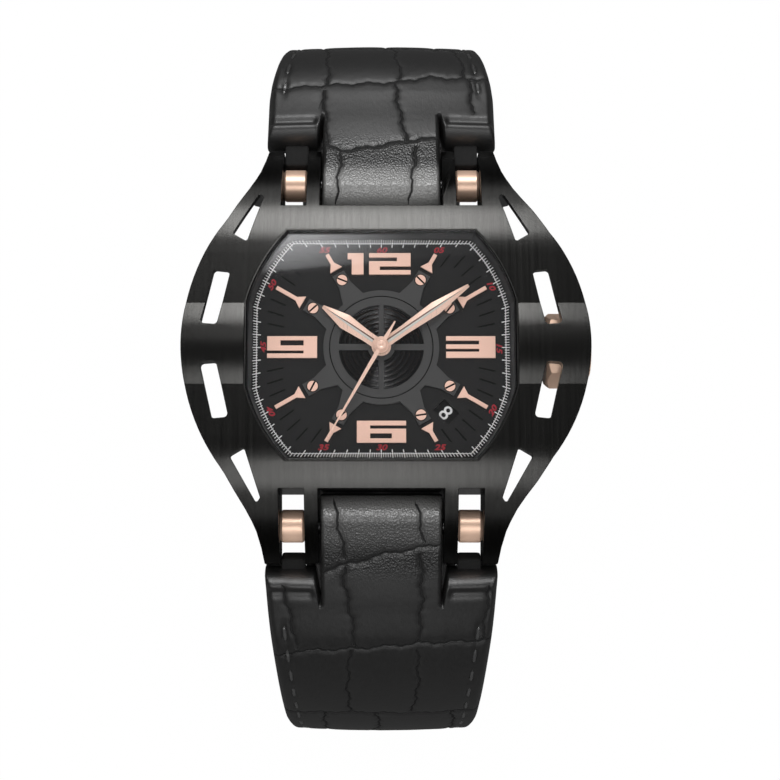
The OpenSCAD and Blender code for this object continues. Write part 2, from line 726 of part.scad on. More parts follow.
module mainplate() color(steel) difference() {
    union() {
        disc([0, 0], movement_r, mainplate_low, mainplate_top);
        disc([0, 0], movement_r, mainplate_top - eps, date_low + date_t + 0.2, movement_r - 0.4);
        disc([0, 0], 9.25, mainplate_top - eps, date_low - 0.05, 8.9);
        disc(minute_at, 0.2, mainplate_top - eps, 9.1);
        disc(setting_at, 0.2, mainplate_top - eps, 8.75);
        disc(lever_at, 0.22, mainplate_top - eps, 8.6);
    }
    disc(barrel_at, barrel_m * barrel_teeth / 2 + 0.3, 0, mainplate_top - 0.25);
    disc(barrel_at, barrel_arbor_r + run_gap, 0, 20);
    disc([0, 0], centre_arbor_r + run_gap, 0, 20);
    disc([0, 0], 0.9, 0, mainplate_top - 0.4);
    for (p = [third_at, escape_at, pallet_at, balance_at]) {
        disc(p, pivot_r + run_gap, 0, 20);
        disc(p, 0.75, 0, mainplate_low + 0.35);
    }
    translate([slider_x - 0.9, -1.1, 0]) cube([pinion_in_x + 1.5 - slider_x + 0.9, 2.2, 8.75]);
    rod_x(stem_r + run_gap, 0, 20, 0, stem_z);
    lever_pocket();
}

// Full-height ring sector between two directions
module sector(a0, a1, r) {
    step = (a1 - a0) / 4;
    intersection() {
        circle(r = r, $fn = 128);
        polygon([[0, 0], 2 * polar(r, a0), 2 * polar(r, a0 + step), 2 * polar(r, a0 + 2 * step),
            2 * polar(r, a0 + 3 * step), 2 * polar(r, a1)]);
    }
}

// Space of the balance and its spring
module balance_space() {
    disc(balance_at, balance_r + 0.4, 0, mainplate_low + eps);
}

bridge_r = movement_r - 0.3;
screw_r = 0.4;
train_screws = [[-9.2, 5.6], [-10.0, -4.4]];
barrel_screws = [[4.0, 11.1], [10.6, -4.6]];
auto_screws = [[-10.6, 0], [10.9, -0.1]];
auto_post_r = 0.9;
rotor_axle_r = 0.8;
module train_bridge() color(steel) difference() {
    union() {
        translate([0, 0, train_low]) linear_extrude(mainplate_low - train_low) sector(98, 232, bridge_r);
        disc([0, 0], 4.3, train_low, train_floor);
        disc(escape_at, 1.6, train_low, train_floor);
    }
    disc([0, 0], 4.05, train_floor, mainplate_low + 1);
    disc(third_at, 4.05, train_floor, mainplate_low + 1);
    disc(escape_at, 2.6, train_floor, mainplate_low + 1);
    disc(barrel_at, winding_m * ratchet_teeth / 2 + 0.4, 0, 20);
    balance_space();
    for (p = [[0, 0], third_at, escape_at]) {
        disc(p, jewel_r, train_low - 1, 20);
    }
    for (p = train_screws) disc(p, screw_r, 0, 20);
}

module barrel_bridge() color(steel) difference() {
    union() {
        translate([0, 0, barrel_bridge_low]) linear_extrude(mainplate_low - barrel_bridge_low) difference() {
            sector(-62, 95, bridge_r);
            circle(r = 4.45);
        }
        disc(barrel_at, 1.3, barrel_bridge_low, mainplate_low - 0.6);
    }
    disc([0, 0], 4.05, train_floor, mainplate_low + 1);
    disc(third_at, 4.05, train_floor, mainplate_low + 1);
    disc(barrel_at, barrel_m * barrel_teeth / 2 + 0.3, barrel_z - 0.15, 20);
    disc(barrel_at, barrel_arbor_r + run_gap, 0, 20);
    disc(crown_wheel_at, 2.6, 6.2, 20);
    disc(crown_wheel_at, 0.75 + run_gap, 0, 20);
    translate([slider_x - 0.9, -1.1, 6.3]) cube([pinion_in_x + 1.5 - slider_x + 0.9, 2.2, 2]);
    balance_space();
    disc(pallet_at, 1.2, 0, 20);
    for (p = barrel_screws) disc(p, screw_r, 0, 20);
}

module balance_cock() color(steel) difference() {
    union() {
        disc(balance_at, 1.5, cock_low, cock_low + cock_t);
        translate([0, 0, cock_low]) linear_extrude(cock_t) intersection() {
            sector(236, 296, bridge_r);
            polygon([[-3.6, -8.5], [-0.6, -8.5], [3.2, -12.8], [-5.6, -12.8]]);
        }
        translate([0, 0, cock_low]) linear_extrude(mainplate_low - cock_low) intersection() {
            difference() {
                sector(236, 296, bridge_r);
                translate(balance_at) circle(balance_r + 0.4);
            }
            polygon([[-5.6, -9.3], [3.6, -9.3], [3.6, -12.8], [-5.6, -12.8]]);
        }
    }
    disc(balance_at, jewel_r, 0, 20);
}

module automatic_bridge() color(steel) difference() {
    union() {
        disc([0, 0], 3.4, auto_low, auto_low + auto_t);
        translate([-11.6, -1.6, auto_low]) cube([23.2, 3.2, auto_t]);
        disc(auto_screws[0], 1.4, auto_low, train_low);
        disc(auto_screws[1], auto_post_r, auto_low, barrel_bridge_low);
        disc([0, 0], rotor_axle_r, rotor_z - 0.3, auto_low + eps);
    }
    disc(crown_wheel_at, 1.1, 0, 20);
    for (p = auto_screws) disc(p, screw_r, 0, 20);
}

// Screw at p from head height z0 to z1, its head below z0
module bridge_screw(p, z0, z1) {
    disc(p, screw_r, z0, z1);
    disc(p, 1.75 * screw_r, z0 - 0.3, z0);
}

module movement_screws() color(steel) {
    for (p = train_screws) bridge_screw(p, train_low, mainplate_low);
    for (p = barrel_screws) bridge_screw(p, barrel_bridge_low, mainplate_low);
    bridge_screw(auto_screws[0], auto_low, train_low);
    bridge_screw(auto_screws[1], auto_low, barrel_bridge_low);
    disc([0, 0], 1.5, rotor_z - 0.65, rotor_z - 0.3);
}

module bearing_jewels() color([0.7, 0.1, 0.25]) {
    for (p = [[0, 0], third_at, escape_at]) disc(p, jewel_r, train_low, train_floor, pivot_r + run_gap);
    disc(balance_at, jewel_r, cock_low, cock_low + cock_t, pivot_r + run_gap);
}

// Clamps under the barrel bridge's edge that also reach under the movement holder
module casing_clamps() color(steel) for (a = [40, -50]) rotate(a)
    translate([bridge_r - 0.8, -0.8, barrel_bridge_low - 0.38]) cube([holder_r - bridge_r + 0.7, 1.6, 0.38]);

// Going train
module mainspring_barrel() color(brass) difference() {
    union() {
        gear_at(barrel_at, barrel_z, barrel_teeth, barrel_m, wheel_t, 0,
            mesh_turn(0, centre_leaves, barrel_dir, barrel_teeth));
        disc(barrel_at, 4.2, barrel_z + wheel_t - eps, mainplate_top - 0.35);
    }
    disc(barrel_at, barrel_arbor_r + run_gap, 0, 20);
}

// Wheel with five round lightening holes
module pierced_gear(p, z, teeth, m, bore, turn) {
    r = m * teeth / 2;
    difference() {
        gear_at(p, z, teeth, m, wheel_t, bore, turn);
        translate([p[0], p[1], z - 1]) for (i = [0 : 4]) rotate(72 * i + turn)
            translate([0.58 * r, 0, 0]) cylinder(r = 0.24 * r, h = 3);
    }
}

centre_turn = 180 / centre_teeth + third_dir;
module centre_wheel() color(brass) {
    bore = seconds_arbor_r + run_gap;
    pierced_gear([0, 0], centre_z, centre_teeth, centre_m, bore, centre_turn);
    gear_at([0, 0], centre_z + wheel_t, centre_leaves, barrel_m, 0.35, bore, 0);
    disc([0, 0], centre_arbor_r, centre_z + wheel_t + 0.3, dial_z + 0.9, bore);
}

third_turn = mesh_turn(centre_turn, centre_teeth, third_dir, third_leaves);
module third_wheel() color(brass) {
    pierced_gear(third_at, third_z, third_teeth, third_m, 0, third_turn);
    gear_at(third_at, third_z + wheel_t, third_leaves, centre_m, 0.65, 0, third_turn);
    disc(third_at, pivot_r, train_low + 0.05, mainplate_top - 0.1);
    disc(third_at, 0.25, train_floor + 0.1, third_z);
}

fourth_pinion_turn = mesh_turn(third_turn, third_teeth, third_dir + 180, fourth_leaves);
module fourth_wheel() color(brass) {
    pierced_gear([0, 0], fourth_z, fourth_teeth, fourth_m, 0, 0);
    gear_at([0, 0], fourth_z + wheel_t, fourth_leaves, third_m, 0.45, 0, fourth_pinion_turn);
    disc([0, 0], pivot_r, train_low + 0.05, fourth_z);
    disc([0, 0], seconds_arbor_r, fourth_z + wheel_t, second_hand_z + 0.4);
}

escape_turn = mesh_turn(0, fourth_teeth, escape_dir, escape_leaves);
escape_r = 2.0;
module escape_wheel() color(steel) {
    translate([escape_at[0], escape_at[1], escape_z]) linear_extrude(0.15) difference() {
        polygon([for (i = [0 : 19], k = [[0, 0.45], [6, 0], [8, 0], [9, 0.45]])
            polar(escape_r - k[1], 18 * i + k[0])]);
        for (i = [0 : 3]) rotate(90 * i) translate([0.95, 0]) circle(0.42);
    }
    gear_at(escape_at, fourth_z - 0.1, escape_leaves, fourth_m, escape_z - fourth_z + 0.1, 0, escape_turn);
    disc(escape_at, pivot_r, train_low + 0.05, mainplate_top - 0.1);
}

module pallet_fork() color(steel) translate([pallet_at[0], pallet_at[1], 0]) rotate(260) {
    translate([0, 0, escape_z]) linear_extrude(0.15) difference() {
        polygon([[-1.3, -1.2], [-1.1, -1.45], [0.3, -0.35], [1.55, -0.12], [1.75, -0.3], [1.95, -0.3],
            [1.75, 0], [1.95, 0.3], [1.75, 0.3], [1.55, 0.12], [0.3, 0.35], [-1.1, 1.45], [-1.3, 1.2],
            [-0.25, 0]]);
        circle(pivot_r);
    }
    translate([0, 0, train_floor + 0.2]) cylinder(r = pivot_r, h = mainplate_top - train_floor - 0.3);
}

module balance_wheel() color(brass) {
    disc(balance_at, balance_r, balance_z, balance_z + 0.35, balance_r - 0.35);
    translate([balance_at[0], balance_at[1], balance_z + 0.1]) linear_extrude(0.15) difference() {
        for (a = [0, 60, 120]) rotate(a) square([2 * balance_r - 0.3, 0.35], center = true);
        circle(pivot_r);
    }
    disc(balance_at, 0.6, balance_z + 0.35, balance_z + 0.5, pivot_r);
    disc(balance_at, 0.35, balance_z, balance_z + 0.35, pivot_r);
    disc(balance_at, pivot_r, cock_low + 0.05, mainplate_top - 0.1);
}

// Flat spiral spring round the balance staff
module hairspring() color([0.3, 0.4, 0.6]) {
    turns = 7;
    start_r = 0.42;
    step_r = 0.2;
    strip = 0.05;
    count = turns * 20;
    spiral = [for (i = [0 : count]) [start_r + step_r * i / 20, 18 * i]];
    translate([balance_at[0], balance_at[1], balance_z - 0.3]) linear_extrude(0.15)
        polygon(concat([for (s = spiral) polar(s[0], s[1])],
            [for (i = [count : -1 : 0]) polar(spiral[i][0] + strip, spiral[i][1])]));
}

// Motion works, date and hands
module cannon_pinion() color(steel) {
    gear_at([0, 0], mainplate_top + 0.1, cannon_leaves, cannon_m, 0.45, centre_arbor_r + 0.02, minute_dir);
    disc([0, 0], cannon_r, mainplate_top + 0.55, minute_hand_z + hand_t, centre_arbor_r + 0.02);
}

minute_turn = mesh_turn(minute_dir, cannon_leaves, minute_dir, minute_teeth);
module minute_wheel() color(brass) {
    gear_at(minute_at, 8.4, minute_teeth, cannon_m, wheel_t, 0.25, minute_turn);
    gear_at(minute_at, 8.6, minute_leaves, hour_m, 0.55, 0.25, minute_turn);
}

hour_turn = mesh_turn(minute_turn, minute_leaves, minute_dir + 180, hour_teeth);
module hour_wheel() color(brass) {
    bore = cannon_r + run_gap + 0.01;
    gear_at([0, 0], 8.93, hour_teeth, hour_m, wheel_t, bore, hour_turn);
    disc([0, 0], hour_tube_r, 8.93 + wheel_t, hour_hand_z + 0.15, bore);
}

module setting_wheel() color(steel)
    gear_at(setting_at, 8.4, setting_teeth, cannon_m, wheel_t, 0.23,
        mesh_turn(minute_turn, minute_teeth, setting_dir, setting_teeth));

module date_disc() color([0.9, 0.9, 0.9]) {
    difference() {
        disc([0, 0], movement_r - 0.5, date_low, date_low + date_t, 9.6);
        for (i = [0 : 30]) rotate(360 / 31 * i) translate([9.55, 0, 0]) cylinder(r = 0.3, h = 20, $fn = 16);
    }
}

// Lance-shaped hand along +X, then turned to its clock angle
module lance_hand(len, w_hub, w_max, z, clock, hub_r, bore) {
    rotate(90 - clock) translate([0, 0, z]) linear_extrude(hand_t) difference() {
        union() {
            side = [[-0.3, w_hub / 2], [0.25 * len, w_hub / 2], [0.62 * len, w_max / 2], [len, 0.12]];
            polygon(concat([for (q = side) [q[0], -q[1]]], [for (i = [3 : -1 : 0]) side[i]]));
            circle(hub_r);
        }
        circle(bore);
    }
}

hour_hand_z = dial_z + 0.85;
minute_hand_z = hour_hand_z + 0.45;
second_hand_z = minute_hand_z + 0.3;
module hour_hand() color(rose_gold)
    lance_hand(hour_len, 1.39, 1.9, hour_hand_z, hour_angle, 1.17, hour_tube_r);

module minute_hand() color(rose_gold)
    lance_hand(minute_len, 1.2, 1.6, minute_hand_z, minute_angle, 0.92, cannon_r);

module seconds_hand() color(rose_gold) rotate(90 - second_angle) difference() {
    union() {
        translate([0, 0, second_hand_z + 0.12]) linear_extrude(0.12)
            polygon([[-3.3, -0.09], [-0.6, -0.26], [0.6, -0.26], [second_len, -0.06],
                [second_len, 0.06], [0.6, 0.26], [-0.6, 0.26], [-3.3, 0.09]]);
        disc([0, 0], 0.65, second_hand_z, second_hand_z + 0.4);
    }
    disc([0, 0], seconds_arbor_r, second_hand_z - 1, second_hand_z + 1);
}

// Winding rotor
module oscillating_weight() color(steel) difference() {
    union() {
        translate([0, 0, rotor_z]) linear_extrude(0.3) intersection() {
            sector(180, 360, rotor_r);
            circle(rotor_r);
        }
        disc([0, 0], 2.4, rotor_z, rotor_z + 0.3);
        translate([0, 0, 2.6]) linear_extrude(1.0) difference() {
            sector(184, 356, rotor_r);
            circle(9.6);
        }
    }
    disc([0, 0], rotor_axle_r + run_gap, 0, 20);
    for (a = [215, 270, 325]) rotate(a) disc([6.2, 0], 1.8, 0, 20);
}

// Strap path: [length, bend] runs seen from the side, bend in degrees towards the wrist
short_drop = 22;
long_drop = 27;
floor_z = -61;
short_lead = 14.4;
short_bend_r = 12.0;
short_side = 29;
short_foot_r = 20.0;
long_lead = 10.55;
long_bend_r = 25.0;
long_side = 18.4;
long_foot_r = 20.0;
long_tail = 28;
shoulder_w_y = 28;
waist_y = 44;
waist_w = 24.6;
strap_reach = 60;
strap_step = 2.2;

// Length of a bend of so many degrees
function bend_run(r, bend) = r * bend * PI / 180;

short_runs = [[short_lead, 0], [bend_run(short_bend_r, 68), 68], [short_side, 0],
    [bend_run(short_foot_r, 75.6), 75.6]];
long_runs = [[long_lead, 0], [bend_run(long_bend_r, 63), 63], [long_side, 0],
    [bend_run(long_foot_r, 90), 90], [long_tail, 0]];

// Runs cut into pieces no longer than strap_step: [length, bend]
function fine_runs(runs) =
    [for (r = runs) let(n = ceil(r[0] / (r[1] == 0 ? 40 : strap_step)))
        for (i = [1 : n]) [r[0] / n, r[1] / n]];

// Points [y, z, drop angle, distance] along a path from a start
function walk(steps, i, p) =
    i == len(steps) ? [p]
    : let(mid = p[2] + steps[i][1] / 2)
        concat([p], walk(steps, i + 1, [p[0] + steps[i][0] * cos(mid), p[1] - steps[i][0] * sin(mid),
            p[2] + steps[i][1], p[3] + steps[i][0]]));

short_path = walk(fine_runs(short_runs), 0, [bar_y, bar_z, short_drop, 0]);
long_path = walk(fine_runs(long_runs), 0, [bar_y, bar_z, long_drop, 0]);

// Half thickness of the strap at a distance from its bar
function half_t(s, total) = lookup(s, [[0, strap_root_t], [13, strap_root_t], [28, strap_mid_t],
    [58, strap_mid_t], [total - 4, strap_end_t], [total, strap_end_t]]) / 2;

// Side outline of a strap half
function strap_side(path) =
    let(total = path[len(path) - 1][3])
    concat([for (p = path) [p[0] + half_t(p[3], total) * sin(p[2]), p[1] + half_t(p[3], total) * cos(p[2])]],
        [for (i = [len(path) - 1 : -1 : 0]) let(p = path[i])
            [p[0] - half_t(p[3], total) * sin(p[2]), p[1] - half_t(p[3], total) * cos(p[2])]]);

// Place on the path at distance s: [y, z, drop angle]
function at_path(path, s) = let(k = [for (p = path) p[3]],
    t = lookup(s, [for (i = [0 : len(path) - 1]) [k[i], i]]), i = min(floor(t), len(path) - 2), f = t - i)
    [path[i][0] + f * (path[i + 1][0] - path[i][0]), path[i][1] + f * (path[i + 1][1] - path[i][1]),
        path[i][2] + f * (path[i + 1][2] - path[i][2])];

// Polygon of a right-hand edge and its mirror image
module mirrored_outline(edge) {
    polygon(concat(edge, [for (i = [len(edge) - 1 : -1 : 0]) [-edge[i][0], edge[i][1]]]));
}

// Strap half before it is mirrored to its side: side outline, width and the lug tongue
module strap_half(path, narrow_z) {
    tongue_half = notch_half - 0.2;
    difference() {
        intersection() {
            union() {
                along_x(-15, 15) polygon(strap_side(path));
                rod_x(tongue_round_r, -tongue_half, tongue_half, bar_y, bar_z);
            }
            translate([0, 0, floor_z - 5]) linear_extrude(90) mirrored_outline([[strap_w / 2, 0],
                [strap_w / 2, shoulder_w_y], [waist_w / 2, waist_y], [waist_w / 2, strap_reach]]);
            translate([0, 90, 0]) rotate([90, 0, 0]) linear_extrude(180) mirrored_outline([
                [strap_low_w / 2, floor_z - 5], [strap_low_w / 2, narrow_z], [strap_w / 2, 4],
                [strap_w / 2, 20]]);
        }
        rod_x(bar_r + run_gap, -20, 20, bar_y, bar_z);
        for (s = [0, 1]) mirror([s, 0, 0]) rod_x(shoulder_clear_r, tongue_half, 20, bar_y, bar_z);
    }
}

short_end = short_path[len(short_path) - 1];
short_total = short_end[3];
buckle_y = short_end[0];
buckle_z = floor_z + 2.15;
module strap_short() color(leather) difference() {
    union() {
        strap_half(short_path, -9.5);
        rod_x(2.1, -strap_low_w / 2, strap_low_w / 2, buckle_y, buckle_z);
    }
    rod_x(buckle_bar_r + run_gap, -20, 20, buckle_y, buckle_z);
    translate([-buckle_tongue_w / 2 - 0.3, buckle_y - 4, buckle_z - 4]) cube([buckle_tongue_w + 0.6, 6.6, 8]);
}

long_total = long_path[len(long_path) - 1][3];
module strap_long() color(leather) mirror([0, 1, 0]) difference() {
    strap_half(long_path, -28);
    for (i = [0 : 6]) let(p = at_path(long_path, long_total - 9 - i * strap_hole_pitch))
        translate([0, p[0], p[1]]) rotate([p[2], 0, 0]) cylinder(r = strap_hole_r, h = 10, center = true);
    translate([0, 0, floor_z - 5]) linear_extrude(20) for (s = [0, 1]) mirror([s, 0])
        polygon([[strap_low_w / 2 + 1, tail_y - 0.1], [-1, tail_y - 0.1], [3, tail_y],
            [strap_low_w / 2 - 1, tail_y + 5], [strap_low_w / 2, tail_y + 8],
            [strap_low_w / 2 + 1, tail_y + 8]]);
}
tail_y = long_path[len(long_path) - 1][0];

module buckle_frame() color(gunmetal) {
    half = buckle_inner_w / 2;
    out = half + buckle_side_w;
    difference() {
        union() {
            translate([-out, buckle_y - buckle_len, floor_z + 0.9]) cube([2 * out, 2.6, 2.3]);
            for (s = [0, 1]) mirror([s, 0, 0]) {
                translate([half, buckle_y - buckle_len, floor_z + 0.4])
                    cube([buckle_side_w, buckle_len, 2.8]);
                rod_x(1.75, half, out, buckle_y, buckle_z);
            }
        }
        translate([-1.4, buckle_y - buckle_len - 1, floor_z]) cube([2.8, 5, 1.6]);
    }
    rod_x(buckle_bar_r, -half - 0.5, half + 0.5, buckle_y, buckle_z);
}

module buckle_tongue() color(gunmetal) {
    w = buckle_tongue_w;
    difference() {
        union() {
            rod_x(1.5, -w / 2, w / 2, buckle_y, buckle_z);
            along_x(-w / 2, w / 2) polygon([[buckle_y, buckle_z - 1.5], [buckle_y, buckle_z + 0.1],
                [buckle_y - 6, floor_z + 1.45], [buckle_y - buckle_len, floor_z + 1.45],
                [buckle_y - buckle_len, floor_z + 0.25], [buckle_y - 6, floor_z + 0.25]]);
        }
        rod_x(buckle_bar_r + run_gap, -5, 5, buckle_y, buckle_z);
    }
}

// Leather loop round the strap, centred on the path's place p, len long along the strap
module keeper(p, len, room) {
    inner_half = strap_low_w / 2 + 0.3;
    translate([0, p[0], p[1]]) rotate([-p[2], 0, 0]) translate([0, -len / 2, 0]) difference() {
        translate([-inner_half - keeper_t, 0, -room[0] - keeper_t])
            cube([2 * (inner_half + keeper_t), len, room[0] + room[1] + 2 * keeper_t]);
        translate([-inner_half, -1, -room[0]]) cube([2 * inner_half, len + 2, room[0] + room[1]]);
    }
}

free_keeper_s = 46;
keeper_len = 5.0;
keeper_room = strap_mid_t / 2 + strap_end_t + 0.2;
module free_keeper() color(leather)
    keeper(at_path(short_path, free_keeper_s), keeper_len, [strap_mid_t / 2 + 0.3, keeper_room]);

module fixed_keeper() color(leather)
    keeper(at_path(short_path, short_total - 11.5), keeper_len, [strap_mid_t / 2 + 0.25, keeper_room]);

case_frame();
case_container();
bezel_ring();
crystal();
crystal_gasket();
inner_flange();
dial_plate();
dial_rings();
dial_bridge();
dial_screws();
applied_numerals();
hour_markers();
case_back();
back_glass();
back_gasket();
back_screws();
lug_bars();
lug_sleeves();
lug_screws();
crown_tube();
crown();
crown_gasket();
winding_stem();
winding_pinion();
sliding_pinion();
setting_lever();
crown_wheel();
ratchet_wheel();
movement_holder();
mainplate();
train_bridge();
barrel_bridge();
balance_cock();
automatic_bridge();
movement_screws();
bearing_jewels();
casing_clamps();
mainspring_barrel();
centre_wheel();
third_wheel();
fourth_wheel();
escape_wheel();
pallet_fork();
balance_wheel();
hairspring();
cannon_pinion();
minute_wheel();
hour_wheel();
setting_wheel();
date_disc();
hour_hand();
minute_hand();
seconds_hand();
oscillating_weight();
strap_short();
strap_long();
buckle_frame();
buckle_tongue();
fixed_keeper();
free_keeper();
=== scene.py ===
"""Looks of the openwork tonneau wristwatch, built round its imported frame.

The frame holds every rigid piece at its real size. This file gives each of them a finish, and makes the
pieces that need a finer surface: the padded strap halves with their grained tiles and stitching, the
keepers, the faceted hands, the grooved rings under them and the dial's printing. Sizes are millimetres
until a mesh is written, and +Y points to 12 o'clock.
"""

import json
import logging
import math
from dataclasses import dataclass, field
from enum import Enum

import bmesh
import bpy
import numpy as np
from mathutils import Matrix, Vector

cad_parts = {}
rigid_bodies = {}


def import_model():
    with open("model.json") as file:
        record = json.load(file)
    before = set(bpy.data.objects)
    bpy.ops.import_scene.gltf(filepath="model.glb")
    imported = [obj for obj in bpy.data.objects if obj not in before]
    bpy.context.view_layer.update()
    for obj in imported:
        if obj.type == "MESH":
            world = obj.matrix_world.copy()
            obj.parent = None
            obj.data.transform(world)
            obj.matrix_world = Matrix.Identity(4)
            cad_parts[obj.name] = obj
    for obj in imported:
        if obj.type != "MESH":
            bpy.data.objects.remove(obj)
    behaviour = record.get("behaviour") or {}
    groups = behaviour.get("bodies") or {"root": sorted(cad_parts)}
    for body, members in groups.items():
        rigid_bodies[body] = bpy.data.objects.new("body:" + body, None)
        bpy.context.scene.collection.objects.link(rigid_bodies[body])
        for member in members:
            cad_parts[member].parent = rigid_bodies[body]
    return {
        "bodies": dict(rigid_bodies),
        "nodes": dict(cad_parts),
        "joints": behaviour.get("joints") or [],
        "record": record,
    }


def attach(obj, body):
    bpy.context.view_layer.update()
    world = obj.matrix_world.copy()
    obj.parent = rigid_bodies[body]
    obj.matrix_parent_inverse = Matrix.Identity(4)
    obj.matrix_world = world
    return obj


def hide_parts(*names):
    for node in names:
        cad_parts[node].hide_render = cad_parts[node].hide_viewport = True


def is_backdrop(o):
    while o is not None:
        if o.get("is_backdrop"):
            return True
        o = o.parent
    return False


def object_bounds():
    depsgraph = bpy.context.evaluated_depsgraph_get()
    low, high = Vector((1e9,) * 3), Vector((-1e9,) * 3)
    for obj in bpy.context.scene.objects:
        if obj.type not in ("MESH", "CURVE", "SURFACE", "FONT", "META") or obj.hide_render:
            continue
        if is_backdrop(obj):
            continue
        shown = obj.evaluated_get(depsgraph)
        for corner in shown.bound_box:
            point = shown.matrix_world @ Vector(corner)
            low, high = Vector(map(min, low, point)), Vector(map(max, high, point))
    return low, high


MM = 0.001
LOG = logging.getLogger("watch")
Triple = tuple[float, float, float]
Colour = Triple


def grey(level: float) -> Colour:
    """A grey of a given level."""
    return level, level, level


# Shader arithmetic
class Signal:
    """One output socket of a shader tree. Python operators on it add Math nodes."""

    def __init__(self, tree: "ShaderTree", socket: bpy.types.NodeSocket) -> None:
        """Keeps the socket and the tree that it lives in."""
        self.tree = tree
        self.socket = socket

    def math(self, operation: str, *values: "Signal | float") -> "Signal":
        """Adds one Math node.

        Args:
            operation: Blender's name of the operation.
            values: what goes into its sockets, in order.
        Returns:
            The node's result.
        """
        return self.tree.get("ShaderNodeMath", {"operation": operation}, dict(enumerate(values)))

    def __add__(self, other: "Signal | float") -> "Signal":
        """Sum."""
        return self.math("ADD", self, other)

    def __radd__(self, other: float) -> "Signal":
        """Sum with the number first."""
        return self.math("ADD", other, self)

    def __sub__(self, other: "Signal | float") -> "Signal":
        """Difference."""
        return self.math("SUBTRACT", self, other)

    def __rsub__(self, other: float) -> "Signal":
        """Difference with the number first."""
        return self.math("SUBTRACT", other, self)

    def __mul__(self, other: "Signal | float") -> "Signal":
        """Product."""
        return self.math("MULTIPLY", self, other)

    def __rmul__(self, other: float) -> "Signal":
        """Product with the number first."""
        return self.math("MULTIPLY", other, self)

    def wave(self) -> "Signal":
        """Sine, from -1 to 1."""
        return self.math("SINE", self)

    def smooth(self, low: float, high: float) -> "Signal":
        """0 below low, 1 above high, and a smooth step between."""
        return self.tree.get("ShaderNodeMapRange", {"interpolation_type": "SMOOTHSTEP"},
                             {"Value": self, "From Min": low, "From Max": high})


class ShaderTree:
    """The nodes of one material or of the world."""

    def __init__(self, owner: bpy.types.Material | bpy.types.World) -> None:
        """Empties the owner's node tree."""
        owner.use_nodes = True
        self.nodes = owner.node_tree.nodes
        self.links = owner.node_tree.links
        self.nodes.clear()

    def add(self, kind: str, settings: dict | None = None, inputs: dict | None = None) -> bpy.types.Node:
        """Adds one node.

        Args:
            kind: Blender's node type.
            settings: properties of the node, set first.
            inputs: values or signals by socket name or number.
        Returns:
            The node.
        """
        node = self.nodes.new(kind)
        for key, value in (settings or {}).items():
            setattr(node, key, value)
        for key, value in (inputs or {}).items():
            if isinstance(value, Signal):
                self.links.new(value.socket, node.inputs[key])
            else:
                node.inputs[key].default_value = value
        return node

    def get(self, kind: str, settings: dict | None = None, inputs: dict | None = None,
            out: int | str = 0) -> Signal:
        """Adds one node and returns one of its outputs as a signal."""
        return Signal(self, self.add(kind, settings, inputs).outputs[out])

    def attribute(self, name: str) -> Signal:
        """One number that the piece stores at its points."""
        return self.get("ShaderNodeAttribute", {"attribute_name": name}, out="Fac")

    def ray(self, kind: str) -> Signal:
        """1 for rays of a kind (Camera, Glossy or Transmission) and 0 for others."""
        return self.get("ShaderNodeLightPath", out=f"Is {kind} Ray")

    def true_normal(self) -> Signal:
        """Normal of the flat face, without smoothing."""
        return self.get("ShaderNodeNewGeometry", out="True Normal")

    def axis(self, vector: Signal, number: int = 0) -> Signal:
        """One coordinate of a vector."""
        return self.get("ShaderNodeSeparateXYZ", inputs={0: vector}, out=number)

    def place(self, scale: Triple = (1.0, 1.0, 1.0), turn: float = 0.0) -> Signal:
        """Object coordinates in millimetres times scale, turned by turn degrees about Z."""
        coords = self.get("ShaderNodeTexCoord", out="Object")
        return self.get("ShaderNodeMapping", inputs={
            "Vector": coords, "Scale": tuple(s / MM for s in scale), "Rotation": (0, 0, math.radians(turn))})

    def noise(self, vector: Signal, scale: float, detail: float = 2.0, rough: float = 0.5) -> Signal:
        """Fractal noise from 0 to 1."""
        return self.get("ShaderNodeTexNoise", inputs={
            "Vector": vector, "Scale": scale, "Detail": detail, "Roughness": rough})

    def cells(self, vector: Signal, scale: float, soft: float = 0.4) -> Signal:
        """Distance to the nearest of many scattered points, smoothed."""
        return self.get("ShaderNodeTexVoronoi", {"feature": "SMOOTH_F1"}, {
            "Vector": vector, "Scale": scale, "Smoothness": soft})

    def tint(self, factor: Signal, low: Colour, high: Colour) -> Signal:
        """Colour that goes from low to high with factor."""
        return self.get("ShaderNodeMix", {"data_type": "RGBA"}, {
            "Factor": factor, 6: (*low, 1.0), 7: (*high, 1.0)}, out=2)

    def blend(self, factor: Signal, low: Signal, high: Colour) -> Signal:
        """Colour signal that goes towards a fixed colour with factor."""
        return self.get("ShaderNodeMix", {"data_type": "RGBA"}, {
            "Factor": factor, 6: low, 7: (*high, 1.0)}, out=2)

    def bump(self, height: Signal, depth: float, normal: Signal | None = None) -> Signal:
        """Normal bent by a height signal that spans depth millimetres."""
        inputs = {"Height": height, "Strength": 1.0, "Distance": depth * MM}
        if normal is not None:
            inputs["Normal"] = normal
        return self.get("ShaderNodeBump", inputs=inputs)

    def soft_edge(self, radius: float) -> Signal:
        """Normal with the piece's edges rounded by radius millimetres."""
        return self.get("ShaderNodeBevel", {"samples": 6}, {"Radius": radius * MM})

    def edge_mask(self, rounded: Signal) -> Signal:
        """1 on sharp edges and 0 on faces: how far the rounded normal leans from the true one."""
        dot = self.get("ShaderNodeVectorMath", {"operation": "DOT_PRODUCT"},
                       {0: rounded, 1: self.true_normal()}, out="Value")
        return (1.0 - dot).smooth(0.005, 0.16)

    def finish(self, shader: bpy.types.Node, kind: str = "ShaderNodeOutputMaterial") -> None:
        """Links a shader node to the tree's output."""
        self.links.new(shader.outputs[0], self.add(kind).inputs["Surface"])


